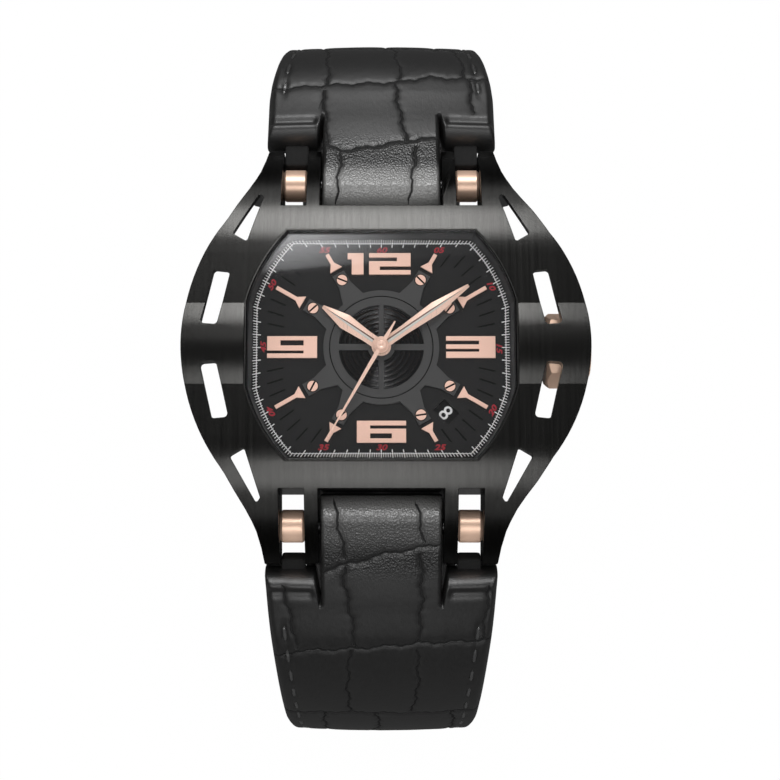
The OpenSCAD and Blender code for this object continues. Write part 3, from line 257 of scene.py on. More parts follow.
# Finishes
class Grain(Enum):
    """Direction of a brushed surface: how fast its streaks change along X, Y and Z, per millimetre."""

    ALONG_Y = (14.0, 0.12, 3.0)
    ALONG_X = (0.2, 12.0, 3.0)


@dataclass(frozen=True)
class Finish:
    """A plain even finish, and the base of the others."""

    name: str
    colour: Colour
    rough: float = 0.4
    metal: float = 0.0
    edge: float = 0.0
    gloss: float = 0.5
    relief: float = 0.004
    ior: float = 1.5

    def material(self) -> bpy.types.Material:
        """Returns the finish's material, made at its first use."""
        made = bpy.data.materials.get(self.name)
        if made is None:
            made = bpy.data.materials.new(self.name)
            tree = ShaderTree(made)
            inputs = {"Base Color": (*self.colour, 1.0), "Roughness": self.rough, "Metallic": self.metal,
                      "Specular IOR Level": self.gloss, "IOR": self.ior}
            inputs.update(self.detail(tree))
            tree.finish(tree.add("ShaderNodeBsdfPrincipled", inputs=inputs))
        return made

    def detail(self, tree: ShaderTree) -> dict:
        """Fine speckle in colour, gloss and height. Subclasses give their own pattern."""
        speckle = tree.noise(tree.place(), 9.0, 3.0)
        low = tuple(c * 0.88 for c in self.colour)
        high = tuple(min(1.0, c * 1.12) for c in self.colour)
        normal = tree.soft_edge(self.edge) if self.edge else tree.true_normal()
        return {"Base Color": tree.tint(speckle, low, high), "Roughness": speckle * 0.12 + (self.rough - 0.06),
                "Normal": tree.bump(speckle, self.relief, normal)}


@dataclass(frozen=True)
class Brushed(Finish):
    """Metal with fine parallel streaks and edges worn a little brighter."""

    grain: Grain = Grain.ALONG_Y
    contrast: float = 0.3
    depth: float = 0.006
    wear: float = 2.2

    def detail(self, tree: ShaderTree) -> dict:
        """Streaks are noise stretched along the grain; a coarse one and a fine one are mixed."""
        fine = tree.noise(tree.place(self.grain.value), 1.0, 5.0, 0.7)
        coarse = tree.noise(tree.place(tuple(g * 0.22 for g in self.grain.value)), 1.0, 2.0, 0.5)
        streak = fine * 0.65 + coarse * 0.35
        low = tuple(c * (1 - self.contrast) for c in self.colour)
        high = tuple(min(1.0, c * (1 + self.contrast)) for c in self.colour)
        rounded = tree.soft_edge(max(self.edge, 0.05))
        worn = tree.edge_mask(rounded) * 0.5
        bright = tuple(min(1.0, c * self.wear) for c in self.colour)
        return {"Base Color": tree.blend(worn, tree.tint(streak.smooth(0.25, 0.75), low, high), bright),
                "Roughness": streak * 0.16 + (self.rough - 0.08),
                "Normal": tree.bump(streak, self.depth, rounded)}


@dataclass(frozen=True)
class Plated(Finish):
    """Polished or satin plating: slow waves in gloss and a slight warmth change."""

    warm: Colour = (1.0, 1.0, 1.0)
    relief: float = 0.0012

    def detail(self, tree: ShaderTree) -> dict:
        """The colour drifts towards a warmer one with slow noise, and fine noise roughens the gloss."""
        slow = tree.noise(tree.place(), 0.35, 2.0)
        fine = tree.noise(tree.place((10.0, 0.6, 2.0)), 1.0, 3.0)
        warm = tuple(c * w for c, w in zip(self.colour, self.warm))
        return {"Base Color": tree.tint(slow, self.colour, warm),
                "Roughness": fine * 0.04 + (self.rough - 0.02),
                "Normal": tree.bump(fine, self.relief, tree.soft_edge(max(self.edge, 0.03)))}


@dataclass(frozen=True)
class Decorated(Finish):
    """Movement plates: straight ribs, or small overlapping polished circles."""

    ribs: bool = True
    pitch: float = 1.3

    def detail(self, tree: ShaderTree) -> dict:
        """Ribs are a sine across the plate. Circles are rings round the middle of each square cell."""
        if self.ribs:
            turns = 2 * math.pi / self.pitch
            place = tree.place((turns, turns, turns), turn=35)
            height = tree.axis(place).wave() * 0.5 + 0.5
            depth = 0.05
        else:
            grid = tree.place((1 / self.pitch, 1 / self.pitch, 0.0))
            cell = tree.get("ShaderNodeVectorMath", {"operation": "FRACTION"}, {0: grid})
            from_mid = tree.get("ShaderNodeVectorMath", {"operation": "DISTANCE"},
                                {0: cell, 1: (0.5, 0.5, 0.0)}, out="Value")
            height = (from_mid * 60.0).wave() * 0.3 + from_mid
            depth = 0.03
        fine = tree.noise(tree.place((9.0, 0.4, 2.0)), 1.0, 4.0)
        low = tuple(c * 0.82 for c in self.colour)
        return {"Base Color": tree.tint(fine * 0.5 + height * 0.5, low, self.colour),
                "Roughness": fine * 0.12 + (self.rough - 0.06),
                "Normal": tree.bump(height, depth, tree.soft_edge(0.05))}


@dataclass(frozen=True)
class ClearGlass(Finish):
    """Thin coated glass: seen through, with a faint even reflection."""

    cover: float = 0.03

    def detail(self, tree: ShaderTree) -> dict:
        """Hardly visible smears vary the gloss. The true normal keeps the large flat faces flat."""
        smear = tree.noise(tree.place(), 0.25, 3.0)
        return {"Alpha": self.cover, "Roughness": smear * 0.01 + self.rough,
                "Normal": tree.true_normal()}


@dataclass(frozen=True)
class Leather(Finish):
    """Grained calf leather. The piece's own attributes say where it is pebbled, where its creases lie and where
    light is painted in.
    """

    pebble_depth: float = 0.06
    # Colour painted on the end by the case, standing in for light: a painted highlight and lifted shade.
    pale: Colour = (0.26, 0.258, 0.252)

    def detail(self, tree: ShaderTree) -> dict:
        """Pebbles are smoothed cells and wrinkles are stretched noise.

        A crack runs where the signed distance to the nearest crease goes through zero, and only close to it;
        there the colour goes near black, painted shade in the crack.
        Light is painted in on the end by the case: the colour turns paler there, a painted highlight on its top
        and painted light on the shaded face of its end.
        """
        close, side = tree.attribute("crease"), tree.attribute("crease_side")
        crease = (1.0 - side.math("ABSOLUTE", side).smooth(0.05, 0.19)) * close.smooth(0.3, 0.6)
        pebbled, place = tree.attribute("pebbled"), tree.place()
        pebbles = tree.cells(place, 4.0) * pebbled
        wrinkles = tree.noise(tree.place((1.0, 0.35, 1.0)), 2.4, 6.0, 0.65)
        pores = tree.noise(place, 11.0, 2.0)
        height = pebbles * 0.9 + wrinkles * (0.45 - pebbled * 0.2) + pores * 0.08 - crease * 1.6
        tone = tree.tint(wrinkles.smooth(0.3, 0.7), tuple(c * 0.75 for c in self.colour),
                         tuple(c * 1.3 for c in self.colour))
        # Painted light: the end by the case turns paler, a painted highlight on its top and painted light on the
        # shaded face of its end.
        tone = tree.blend(tree.attribute("pale"), tone, self.pale)
        # Painted shade: the colour goes near black in the cracks.
        return {"Base Color": tree.blend(crease, tone, grey(0.0005)),
                "Roughness": wrinkles * 0.14 + close * 0.12 + crease * 0.4 - pebbled * 0.1 + (self.rough - 0.07),
                "Normal": tree.bump(height, self.pebble_depth)}


GUNMETAL = Brushed("black_brushed_steel", (0.045, 0.0445, 0.043), 0.24, 1.0, 0.12, depth=0.003)
GUNMETAL_ALONG = Brushed("black_brushed_steel_long", (0.05, 0.0495, 0.0475), 0.24, 1.0, 0.12, grain=Grain.ALONG_X)
BRIGHT_EDGE = Plated("polished_edge_steel", (0.12, 0.118, 0.114), 0.2, 1.0, 0.05)
GLASS = ClearGlass("coated_sapphire", (0.95, 0.95, 0.97), 0.02, 1.0, cover=0.06)
BACK_GLASS = ClearGlass("clear_back_glass", (0.9, 0.92, 0.94), 0.03, 1.0, cover=0.06)
SEAL = Finish("black_rubber", grey(0.012), 0.55, gloss=0.3)
FLANGE = Finish("black_flange_paint", grey(0.002), 0.3, gloss=0.3)
DIAL_PAINT = Finish("dial_black_paint", (0.0115, 0.0115, 0.0117), 0.45, gloss=0.2, relief=0.0003)
BRIDGE_PAINT = Finish("grey_satin_bridge", grey(0.044), 0.45, 0.0, 0.06, relief=0.0006)
ROSE = Plated("rose_gold_satin", (0.97, 0.64, 0.52), 0.26, 0.15, 0.05, warm=(1.0, 0.97, 0.95))
ROSE_HAND = Plated("rose_gold_hand", (0.95, 0.67, 0.55), 0.28, 0.25, 0.04, warm=(1.0, 0.95, 0.92))
ROSE_POLISHED = Plated("rose_gold_polished", (1.0, 0.7, 0.54), 0.36, 0.5, 0.06, warm=(0.98, 0.95, 0.9))
STEEL = Brushed("nickel_steel", (0.52, 0.52, 0.53), 0.3, 1.0, 0.05, contrast=0.12, depth=0.003, wear=1.4)
DARK_STEEL = Brushed("dark_steel_bar", grey(0.05), 0.25, 1.0, 0.05, grain=Grain.ALONG_X, contrast=0.2)
RIBBED = Decorated("ribbed_bridge", (0.5, 0.5, 0.52), 0.28, 1.0)
CIRCLED = Decorated("circled_plate", (0.5, 0.5, 0.51), 0.3, 1.0, ribs=False, pitch=1.1)
GILT = Brushed("gilt_brass", (0.72, 0.5, 0.2), 0.3, 1.0, 0.03, contrast=0.12, depth=0.002, wear=1.3)
BLUED = Plated("blued_steel", (0.03, 0.06, 0.3), 0.2, 1.0, warm=(1.2, 1.0, 0.8))
RUBY = Plated("ruby_jewel", (0.5, 0.01, 0.06), 0.08, 0.0)
HOLDER = Finish("moulded_holder", grey(0.02), 0.5)
DATE_PAINT = Finish("date_disc_paint", grey(0.003), 0.45, gloss=0.2, relief=0.0003)
WHITE_PRINT = Finish("white_print", grey(0.9), 0.5, relief=0.0002)
DATE_PRINT = Finish("date_print", grey(0.85), 0.5, relief=0.0002)
RED_PRINT = Finish("red_print", (0.42, 0.01, 0.024), 0.5, gloss=0.3, relief=0.0002)
# Black ink for printed marks, also used as painted shade in the screw slots and seams.
DARK_PRINT_AND_SHADE = Finish("dark_print_and_shade", grey(0.0012), 0.3, gloss=0.1, relief=0.0002)
GROOVED = Plated("grooved_black_metal", (0.05, 0.05, 0.051), 0.16, 1.0)
LUME = Finish("pale_lume", (0.62, 0.62, 0.58), 0.5, relief=0.0005)
# A shaded copy of the hands' rose gold: painted shade in the hands' channels.
CHANNEL_SHADE = Finish("hand_channel_shade", (0.2, 0.11, 0.085), 0.5)
STRAP_LEATHER = Leather("grained_leather", (0.0055, 0.0054, 0.0053), 0.43, gloss=1.0, ior=1.55)
THREAD = Finish("waxed_thread", grey(0.035), 0.32, gloss=1.0)


# Mesh helpers
def grid_quads(rows: int, cols: int, wrap_rows: bool = False, wrap_cols: bool = False) -> np.ndarray:
    """Quads of a grid of points stored row by row.

    Args:
        rows: number of rows.
        cols: points in each row.
        wrap_rows: join the last row to the first.
        wrap_cols: join the last column to the first.
    Returns:
        An array of four point numbers a face, turning from columns to rows.
    """
    i = np.arange(rows if wrap_rows else rows - 1)[:, None]
    j = np.arange(cols if wrap_cols else cols - 1)[None, :]
    k, m = (i + 1) % rows, (j + 1) % cols
    return np.stack([i * cols + j, i * cols + m, k * cols + m, k * cols + j], -1).reshape(-1, 4)


def welded(points: np.ndarray, quads: np.ndarray) -> tuple[np.ndarray, list[list[int]], np.ndarray]:
    """Merges points that coincide, turns quads that lose a corner into triangles, and drops unused points.

    Args:
        points: the corners in millimetres.
        quads: four point numbers a face.
    Returns:
        The points left, the faces, and the number of the first old point behind each point left.
    """
    _, first, new = np.unique(np.round(points, 4), axis=0, return_index=True, return_inverse=True)
    quads = new.reshape(-1)[quads]
    same = quads == np.roll(quads, -1, axis=1)
    whole = quads[same.sum(1) == 0]
    part = quads[same.sum(1) == 1]
    keep = ~same[same.sum(1) == 1]
    triangles = part[keep].reshape(-1, 3)
    whole = whole[(whole[:, 0] != whole[:, 2]) & (whole[:, 1] != whole[:, 3])]
    used = np.unique(np.concatenate([whole.reshape(-1), triangles.reshape(-1)]))
    number = np.zeros(len(first), int)
    number[used] = np.arange(len(used))
    return points[first[used]], number[whole].tolist() + number[triangles].tolist(), first[used]


class Piece:
    """A new mesh piece of the watch."""

    def __init__(self, name: str, points: np.ndarray, faces: np.ndarray | list, finishes: list[Finish],
                 which: np.ndarray | None = None, smooth: bool = True) -> None:
        """Writes the mesh.

        Args:
            name: name of the piece.
            points: corners in millimetres.
            faces: point numbers of each face.
            finishes: the finishes that it wears.
            which: number of the finish of each face.
            smooth: shade it smoothly.
        """
        mesh = bpy.data.meshes.new(name)
        listed = faces.tolist() if isinstance(faces, np.ndarray) else faces
        mesh.from_pydata((np.asarray(points, float) * MM).tolist(), [], listed)
        mesh.polygons.foreach_set("use_smooth", np.full(len(listed), smooth))
        if which is not None:
            mesh.polygons.foreach_set("material_index", which)
        for finish in finishes:
            mesh.materials.append(finish.material())
        mesh.update()
        self.obj = bpy.data.objects.new(name, mesh)
        bpy.context.scene.collection.objects.link(self.obj)

    def face_out(self) -> None:
        """Turns every face of the closed mesh outwards."""
        mesh = bmesh.new()
        mesh.from_mesh(self.obj.data)
        bmesh.ops.recalc_face_normals(mesh, faces=mesh.faces)
        mesh.to_mesh(self.obj.data)
        mesh.free()

    def paint(self, name: str, values: np.ndarray) -> None:
        """Stores one number at each point as an attribute."""
        layer = self.obj.data.attributes.new(name, "FLOAT", "POINT")
        layer.data.foreach_set("value", values.astype(np.float32))

    def seat(self, body: str, slot: str, *nodes: str) -> None:
        """Fixes the piece to a body, and hides the nodes that it stands for."""
        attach(self.obj, body)
        if nodes:
            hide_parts(*nodes)
        LOG.info("%s on %s: %d points", self.obj.name, body, len(self.obj.data.vertices))


def prisms(corners: np.ndarray, low: float, high: float) -> tuple[np.ndarray, np.ndarray]:
    """Thin upright boxes on four-cornered plans.

    Args:
        corners: plans as an array (count, 4, 2), counter-clockwise.
        low: height of the undersides.
        high: height of the tops.
    Returns:
        Points and quads.
    """
    count = len(corners)
    flat = np.repeat(corners[:, None], 2, axis=1)
    levels = np.broadcast_to(np.array([low, high])[None, :, None, None], (count, 2, 4, 1))
    points = np.concatenate([flat, levels], -1).reshape(-1, 3)
    one = np.array([[3, 2, 1, 0], [4, 5, 6, 7], [0, 1, 5, 4], [1, 2, 6, 5], [2, 3, 7, 6], [3, 0, 4, 7]])
    return points, (one[None] + 8 * np.arange(count)[:, None, None]).reshape(-1, 4)


def lathed(profile: np.ndarray, centre: tuple[float, float], steps: int) -> tuple[np.ndarray, np.ndarray]:
    """Turns a closed profile of (radius, height) about a vertical axis."""
    angle = np.linspace(0, 2 * np.pi, steps, endpoint=False)[:, None]
    radius, height = profile[:, 0][None], profile[:, 1][None]
    points = np.stack([centre[0] + radius * np.cos(angle), centre[1] + radius * np.sin(angle),
                       np.broadcast_to(height, (steps, len(profile)))], -1).reshape(-1, 3)
    return points, grid_quads(steps, len(profile), wrap_rows=True, wrap_cols=True)[:, ::-1]


def polar(radius: np.ndarray | float, angle: np.ndarray | float) -> np.ndarray:
    """Points at a radius and an angle in degrees."""
    turn = np.radians(angle)
    return np.stack([radius * np.cos(turn), radius * np.sin(turn)], -1)


def ramp(value: np.ndarray, low: float, high: float) -> np.ndarray:
    """Smooth step from 0 at low to 1 at high."""
    share = np.clip((value - low) / (high - low), 0, 1)
    return share * share * (3 - 2 * share)


def squared(wave: np.ndarray, power: float) -> np.ndarray:
    """Sine or cosine raised to a power with its sign kept, which presses a circle towards a square."""
    return np.sign(wave) * np.abs(wave) ** power


def dress(frame: dict, finish: Finish, *nodes: str) -> None:
    """Gives CAD nodes a finish in their material slots."""
    for name in nodes:
        obj = frame["nodes"][name]
        if not obj.material_slots:
            obj.data.materials.append(finish.material())
        for slot in obj.material_slots:
            slot.material = finish.material()
    LOG.info("%s: %s", finish.name, ", ".join(nodes))


# Studio
@dataclass
class Studio:
    """Camera at the photograph's place, soft lamps, a white surround and the floor."""

    eye: Triple = (0.0, -34.7, 207.0)
    target: Triple = (0.0, 0.0, 10.0)
    focal_px: float = 1670.0
    image_px: float = 780.0
    dial_px: tuple[float, float] = (381.3, 347.5)
    lamp_distance: float = 0.7
    floor_gap: float = 0.05
    floor_half: float = 1.5
    floor_gloss: float = 0.1
    floor_white: float = 0.985
    sky_top: float = 0.12
    sky_side: float = 0.02
    fill: float = 1.6
    card_distance: float = 0.9
    card_light: float = 3.9
    card_corners: tuple[tuple[float, float], ...] = ((-110, 204), (100, 222), (100, 300), (-110, 300))
    card_left_right: tuple[float, float] = (-0.085, 0.03)
    card_low_high: tuple[float, float] = (0.205, 0.235)
    lamps: tuple[tuple, ...] = (
        ("lamp_high", (28, 51), (-8, 6), 8.0), ("lamp_back", (51, 72), (-10, 8), 1.0),
        ("lamp_low", (-34, -12), (-8, 6), 3.4), ("lamp_front", (-58, -37), (-10, 8), 0.5))

    def camera(self) -> None:
        """Places the camera; the shift puts the dial's centre on its pixel."""
        lens = bpy.data.cameras.new("photo_camera")
        lens.sensor_width = 36.0
        lens.lens = self.focal_px / self.image_px * lens.sensor_width
        half = self.image_px / 2
        lens.shift_x = (half - self.dial_px[0]) / self.image_px
        lens.shift_y = (self.dial_px[1] - half) / self.image_px
        lens.clip_start = 0.01
        camera = bpy.data.objects.new("photo_camera", lens)
        eye, target = Vector(self.eye) * MM, Vector(self.target) * MM
        camera.location = eye
        camera.rotation_euler = (target - eye).to_track_quat("-Z", "Y").to_euler()
        bpy.context.scene.collection.objects.link(camera)
        bpy.context.scene.camera = camera

    def softbox(self, name: str, lean: tuple[float, float], across: tuple[float, float], light: float) -> None:
        """Hangs one rectangular lamp that faces the dial. It shows in glossy surfaces alone.

        Args:
            name: name of the lamp.
            lean: lower and upper edge, in degrees from straight up towards 12 o'clock.
            across: left and right edge, in degrees from straight up towards 3 o'clock.
            light: radiance of its face.
        """
        middle = math.radians(sum(lean) / 2)
        side = math.radians(sum(across) / 2)
        lamp = bpy.data.lights.new(name, "AREA")
        lamp.shape = "RECTANGLE"
        lamp.size = 2 * self.lamp_distance * math.tan(math.radians((across[1] - across[0]) / 2))
        lamp.size_y = 2 * self.lamp_distance * math.tan(math.radians((lean[1] - lean[0]) / 2))
        lamp.energy = 4 * light * lamp.size * lamp.size_y
        obj = bpy.data.objects.new(name, lamp)
        obj.visible_diffuse = False
        way = Vector((math.tan(side), math.sin(middle), math.cos(middle))).normalized()
        obj.location = Vector(self.target) * MM + way * self.lamp_distance
        obj.rotation_euler = (-way).to_track_quat("-Z", "Y").to_euler()
        bpy.context.scene.collection.objects.link(obj)

    def card(self) -> None:
        """Hangs the pale card whose slanted lower edge shows in the top of the glass.

        It is brightest at its left end and towards 12 o'clock, as light falls off across a real one.
        """
        far = self.card_distance
        points = [(x * MM, y * MM, far) for x, y in self.card_corners]
        mesh = bpy.data.meshes.new("pale_card")
        mesh.from_pydata(points, [], [(3, 2, 1, 0)])
        material = bpy.data.materials.new("pale_card")
        tree = ShaderTree(material)
        place = tree.get("ShaderNodeTexCoord", out="Object")
        to_right = tree.axis(place).smooth(*self.card_left_right)
        to_noon = tree.axis(place, 1).smooth(*self.card_low_high)
        fade = (1.0 - to_right * 0.92) * (to_noon * 0.7 + 0.3)
        light = tree.tint(fade, grey(0.0), grey(1.0))
        tree.finish(tree.add("ShaderNodeEmission", inputs={"Color": light, "Strength": self.card_light}))
        mesh.materials.append(material)
        card = bpy.data.objects.new("pale_card", mesh)
        card.visible_diffuse = False
        card.visible_shadow = False
        bpy.context.scene.collection.objects.link(card)
        card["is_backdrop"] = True

    def world(self) -> None:
        """White for the camera and through glass; a soft sky, brighter overhead, for everything else."""
        world = bpy.data.worlds.new("surround")
        bpy.context.scene.world = world
        tree = ShaderTree(world)
        seen, gloss = tree.ray("Camera"), tree.ray("Glossy")
        white = seen.math("MAXIMUM", seen, tree.ray("Transmission"))
        up = tree.axis(tree.get("ShaderNodeTexCoord", out="Generated"), 2)
        sky = up.smooth(0.35, 0.97) * (self.sky_top - self.sky_side) + self.sky_side
        soft = gloss * sky + (1.0 - gloss) * self.fill
        strength = white.math("MAXIMUM", white, soft)
        tree.finish(tree.add("ShaderNodeBackground", inputs={"Strength": strength}), "ShaderNodeOutputWorld")

    def floor(self, lowest: float) -> None:
        """A white floor that keeps a faint shadow, just under the strap, and hardly shows in the metal."""
        level = lowest - self.floor_gap * MM
        half = self.floor_half
        mesh = bpy.data.meshes.new("floor")
        corners = [(x * half, y * half, level) for x, y in ((-1, -1), (1, -1), (1, 1), (-1, 1))]
        mesh.from_pydata(corners, [], [(0, 1, 2, 3)])
        material = bpy.data.materials.new("white_floor")
        tree = ShaderTree(material)
        seen = tree.ray("Camera")
        shown = seen.math("MAXIMUM", seen, tree.ray("Transmission")) * self.floor_white
        below = tree.add("ShaderNodeBsdfDiffuse", inputs={"Color": (*grey(0.85), 1.0)})
        for light, share in ((1.0, shown), (self.floor_gloss, tree.ray("Glossy"))):
            glow = tree.add("ShaderNodeEmission", inputs={"Strength": light})
            mixed = tree.add("ShaderNodeMixShader", inputs={0: share})
            tree.links.new(below.outputs[0], mixed.inputs[1])
            tree.links.new(glow.outputs[0], mixed.inputs[2])
            below = mixed
        tree.finish(below)
        mesh.materials.append(material)
        plane = bpy.data.objects.new("floor", mesh)
        bpy.context.scene.collection.objects.link(plane)
        plane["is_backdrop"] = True

    def build(self, lowest: float) -> None:
        """Sets up the whole studio."""
        bpy.context.scene.view_settings.view_transform = "Standard"
        self.camera()
        for lamp in self.lamps:
            self.softbox(*lamp)
        self.card()
        self.world()
        self.floor(lowest)
        LOG.info("studio ready")


# Dial
@dataclass
class Tonneau:
    """Barrel-shaped outline of the dial opening: straight ends and sides joined by bulging corner edges."""

    half_w: float = 16.0
    half_h: float = 13.7
    flat_x: float = 11.2
    flat_y: float = 5.2
    bulge: float = 0.6
    flat_x_rate: float = 0.592
    flat_y_rate: float = 0.256
    steps: int = 24

    def outline(self, offset: float) -> np.ndarray:
        """Closed outline moved outwards by offset.

        A corner edge is an arc whose middle stands bulge over its chord: at share t of the chord the
        arc lies 4 t (1 - t) times the bulge outside it, which is a circle to within a hundredth here.
        """
        w, h = self.half_w + offset, self.half_h + offset
        fx, fy = self.flat_x + self.flat_x_rate * offset, self.flat_y + self.flat_y_rate * offset
        t = np.linspace(0, 1, self.steps)[:, None]
        start, end = np.array([w, fy]), np.array([fx, h])
        chord = end - start
        outward = np.array([chord[1], -chord[0]]) / np.hypot(*chord)
        corner = start + chord * t + outward * (4 * t * (1 - t) * self.bulge)
        turned = [corner, corner[::-1] * [-1, 1], corner * [-1, -1], corner[::-1] * [1, -1]]
        return np.concatenate(turned)

    def radius(self, offset: float, angle: np.ndarray | float) -> np.ndarray | float:
        """Distance from the hand axis to the outline at angles in degrees."""
        ring = self.outline(offset)
        ring = np.concatenate([ring, ring[:1]])
        share = np.linspace(0, 1, 30)[None, :, None]
        fine = (ring[:-1, None] * (1 - share) + ring[1:, None] * share).reshape(-1, 2)
        seen = np.degrees(np.arctan2(fine[:, 1], fine[:, 0])) % 360
        order = np.argsort(seen)
        return np.interp(np.asarray(angle) % 360, seen[order], np.hypot(*fine.T)[order], period=360)


@dataclass
class Dial:
    """Printing and grooved rings of the dial."""

    frame: dict
    top: float = 10.0
    ink: float = 0.02
    track_offset: float = -0.94
    line_w: float = 0.09
    number_offset: float = -1.72
    number_tall: float = 0.68
    dash_w: float = 0.22
    dash_len: float = 2.0
    dash_offset: float = -2.25
    ring_inner: float = 1.62
    ring_outer: float = 5.02
    ring_pitch: float = 0.567
    ring_h: float = 0.12
    line_r: tuple[float, float] = (6.12, 6.25)
    line_z: float = 10.26
    date_r: float = 10.95
    date_tall: float = 1.85
    date_z: float = 9.3
    screw_at: float = 9.45
    outline: Tonneau = field(default_factory=lambda: Tonneau(half_w=15.88))

    def ticks(self, minutes: np.ndarray, inner: float, outer: float, offset: float, wide: float) -> np.ndarray:
        """Plans of radial marks from inner to outer millimetres beyond the outline at an offset."""
        angle = 90 - 6 * minutes
        middle = self.outline.radius(offset, angle)
        along = polar(np.ones_like(angle), angle)
        across = np.stack([-along[:, 1], along[:, 0]], -1) * wide / 2
        near = along * (middle + inner)[:, None]
        far = along * (middle + outer)[:, None]
        return np.stack([near - across, far - across, far + across, near + across], 1)

    def track(self) -> None:
        """White line round the dial with a long mark each minute and four short ones between."""
        inner, outer = (self.outline.outline(self.track_offset + s * self.line_w / 2) for s in (-1, 1))
        outer_next = np.roll(outer, -1, 0)
        loop = np.stack([outer, outer_next, np.roll(inner, -1, 0), inner], 1)
        loop = loop[np.hypot(*(outer - outer_next).T) > 1e-6]
        minutes = np.arange(60.0)
        minor = (minutes[:, None] + np.array([0.2, 0.4, 0.6, 0.8])).reshape(-1)
        plans = np.concatenate([loop, self.ticks(minutes, -0.5, 0.5, self.track_offset, 0.11),
                                self.ticks(minor, -0.14, 0.42, self.track_offset, 0.085)])
        points, quads = prisms(plans, self.top, self.top + self.ink)
        Piece("minute_track", points, quads, [WHITE_PRINT], smooth=False).seat("watch_case", "dial_black")

    def dashes(self) -> None:
        """Dark lines of the minutes between the applied markers."""
        spans = [(6, 9), (11, 13), (17, 19), (21, 24), (36, 39), (41, 43), (47, 49), (51, 54)]
        minutes = np.concatenate([np.arange(a, b + 1.0) for a, b in spans])
        plans = self.ticks(minutes, -self.dash_len, 0.0, self.dash_offset, self.dash_w)
        points, quads = prisms(plans, self.top, self.top + self.ink)
        Piece("minute_dashes", points, quads, [DARK_PRINT_AND_SHADE], smooth=False).seat("watch_case", "dial_black")

    def lettering(self, name: str, marks: list[tuple[str, float, float, float]], tall: float, stretch: float,
                  lean: float, weight: float, low: float, finish: Finish, body: str, slot: str) -> None:
        """Numbers set in one piece.

        Args:
            name: name of the piece.
            marks: each number with its X, its Y and its turn in degrees.
            tall: height of a digit.
            stretch: width of a digit over its usual width.
            lean: slope of the digits.
            weight: how much the strokes are thickened.
            low: height of their underside.
            finish: the ink.
            body: the body that carries them.
            slot: not used.
        """
        cap = 0.73
        joined = bmesh.new()
        for text, x, y, turn in marks:
            curve = bpy.data.curves.new("number", "FONT")
            curve.body = text
            curve.size = tall / cap
            curve.shear = lean
            curve.offset = weight
            curve.extrude = self.ink / 2
            curve.align_x = "CENTER"
            curve.resolution_u = 3
            holder = bpy.data.objects.new("number", curve)
            bpy.context.scene.collection.objects.link(holder)
            bpy.context.view_layer.update()
            mesh = bpy.data.meshes.new_from_object(holder.evaluated_get(bpy.context.evaluated_depsgraph_get()))
            centre = Matrix.Translation((0, -tall / 2, 0))
            turned = Matrix.Rotation(math.radians(turn), 4, "Z")
            placed = Matrix.Translation((x, y, low + self.ink / 2)) @ turned
            mesh.transform(Matrix.Scale(MM, 4) @ placed @ Matrix.Diagonal((stretch, 1, 1, 1)) @ centre)
            joined.from_mesh(mesh)
            bpy.data.objects.remove(holder)
            bpy.data.curves.remove(curve)
            bpy.data.meshes.remove(mesh)
        piece = Piece(name, np.zeros((0, 3)), [], [finish])
        bmesh.ops.remove_doubles(joined, verts=joined.verts, dist=1e-8)
        joined.to_mesh(piece.obj.data)
        joined.free()
        piece.seat(body, slot)

    def numbers(self) -> None:
        """Red minute numbers; those beside the dial are turned to follow the track."""
        turns = {5: 0, 10: -60, 15: -90, 20: 60, 25: 0, 30: 0, 35: 0, 40: -60, 45: 90, 50: 60, 55: 0, 60: 0}
        marks = []
        for minute, turn in turns.items():
            angle = 90 - 6 * minute
            x, y = polar(self.outline.radius(self.number_offset, angle), angle)
            marks.append((f"{minute:02d}", x, y, turn))
        self.lettering("minute_numbers", marks, self.number_tall, stretch=1.35, lean=0.25, weight=0.03,
                       low=self.top, finish=RED_PRINT, body="watch_case", slot="dial_black")

    def date_numbers(self) -> None:
        """White numbers on the date disc, with 8 in the window half past four."""
        shown, window = 8, -45.0
        marks = []
        for day in range(1, 32):
            angle = window - (day - shown) * 360 / 31
            x, y = polar(self.date_r, angle)
            marks.append((str(day), x, y, angle))
        self.lettering("date_numbers", marks, self.date_tall, stretch=1.0, lean=0.0, weight=0.015,
                       low=self.date_z, finish=DATE_PRINT, body="date_disc", slot="date_white")

    def rings(self) -> None:
        """Black rings turned with fine grooves: the height is a cosine of the radius, sharpened at its crests."""
        radius = np.linspace(self.ring_inner, self.ring_outer, 145)
        phase = 2 * np.pi * (radius - self.ring_inner) / self.ring_pitch
        height = self.top + self.ink + self.ring_h * (0.5 - 0.5 * np.cos(phase)) ** 3
        top = np.stack([radius, height], -1)
        base = np.array([[self.ring_outer, self.top], [self.ring_inner, self.top]])
        points, quads = lathed(np.concatenate([top, base]), (0.0, 0.0), 160)
        Piece("grooved_rings", points, quads, [GROOVED]).seat("watch_case", "dial_black", "dial_rings")

    def screw_shades(self) -> None:
        """Painted shade: dark bars for the shadowed floors of the screw slots and dark rings for the seams round
        the heads.
        """
        turns = {1: -45, 2: 52, 4: 27, 5: 8, 7: 40, 8: 63, 10: 42, 11: -22}
        slot_half_len, slot_half_w, head_r, seam_r = 0.6, 0.1, 0.64, 0.73
        slot_floor, rim, seam_top = self.top + 0.3, self.top + 0.34, self.top + 0.365
        seam = np.array([[head_r, seam_top], [seam_r, seam_top], [seam_r, rim], [head_r, rim]])
        points, quads, count = [], [], 0
        for hour, turn in turns.items():
            middle = polar(self.screw_at, 90 - 30 * hour)
            along, across = polar(slot_half_len, turn), polar(slot_half_w, turn + 90)
            plan = middle + np.array([[-along - across, along - across, along + across, across - along]])
            for part, faces in (prisms(plan, slot_floor, rim), lathed(seam, tuple(middle), 40)):
                points.append(part)
                quads.append(faces + count)
                count += len(part)
        Piece("screw_shades", np.concatenate(points), np.concatenate(quads), [DARK_PRINT_AND_SHADE], smooth=False).seat(
            "watch_case", "dial_grey")

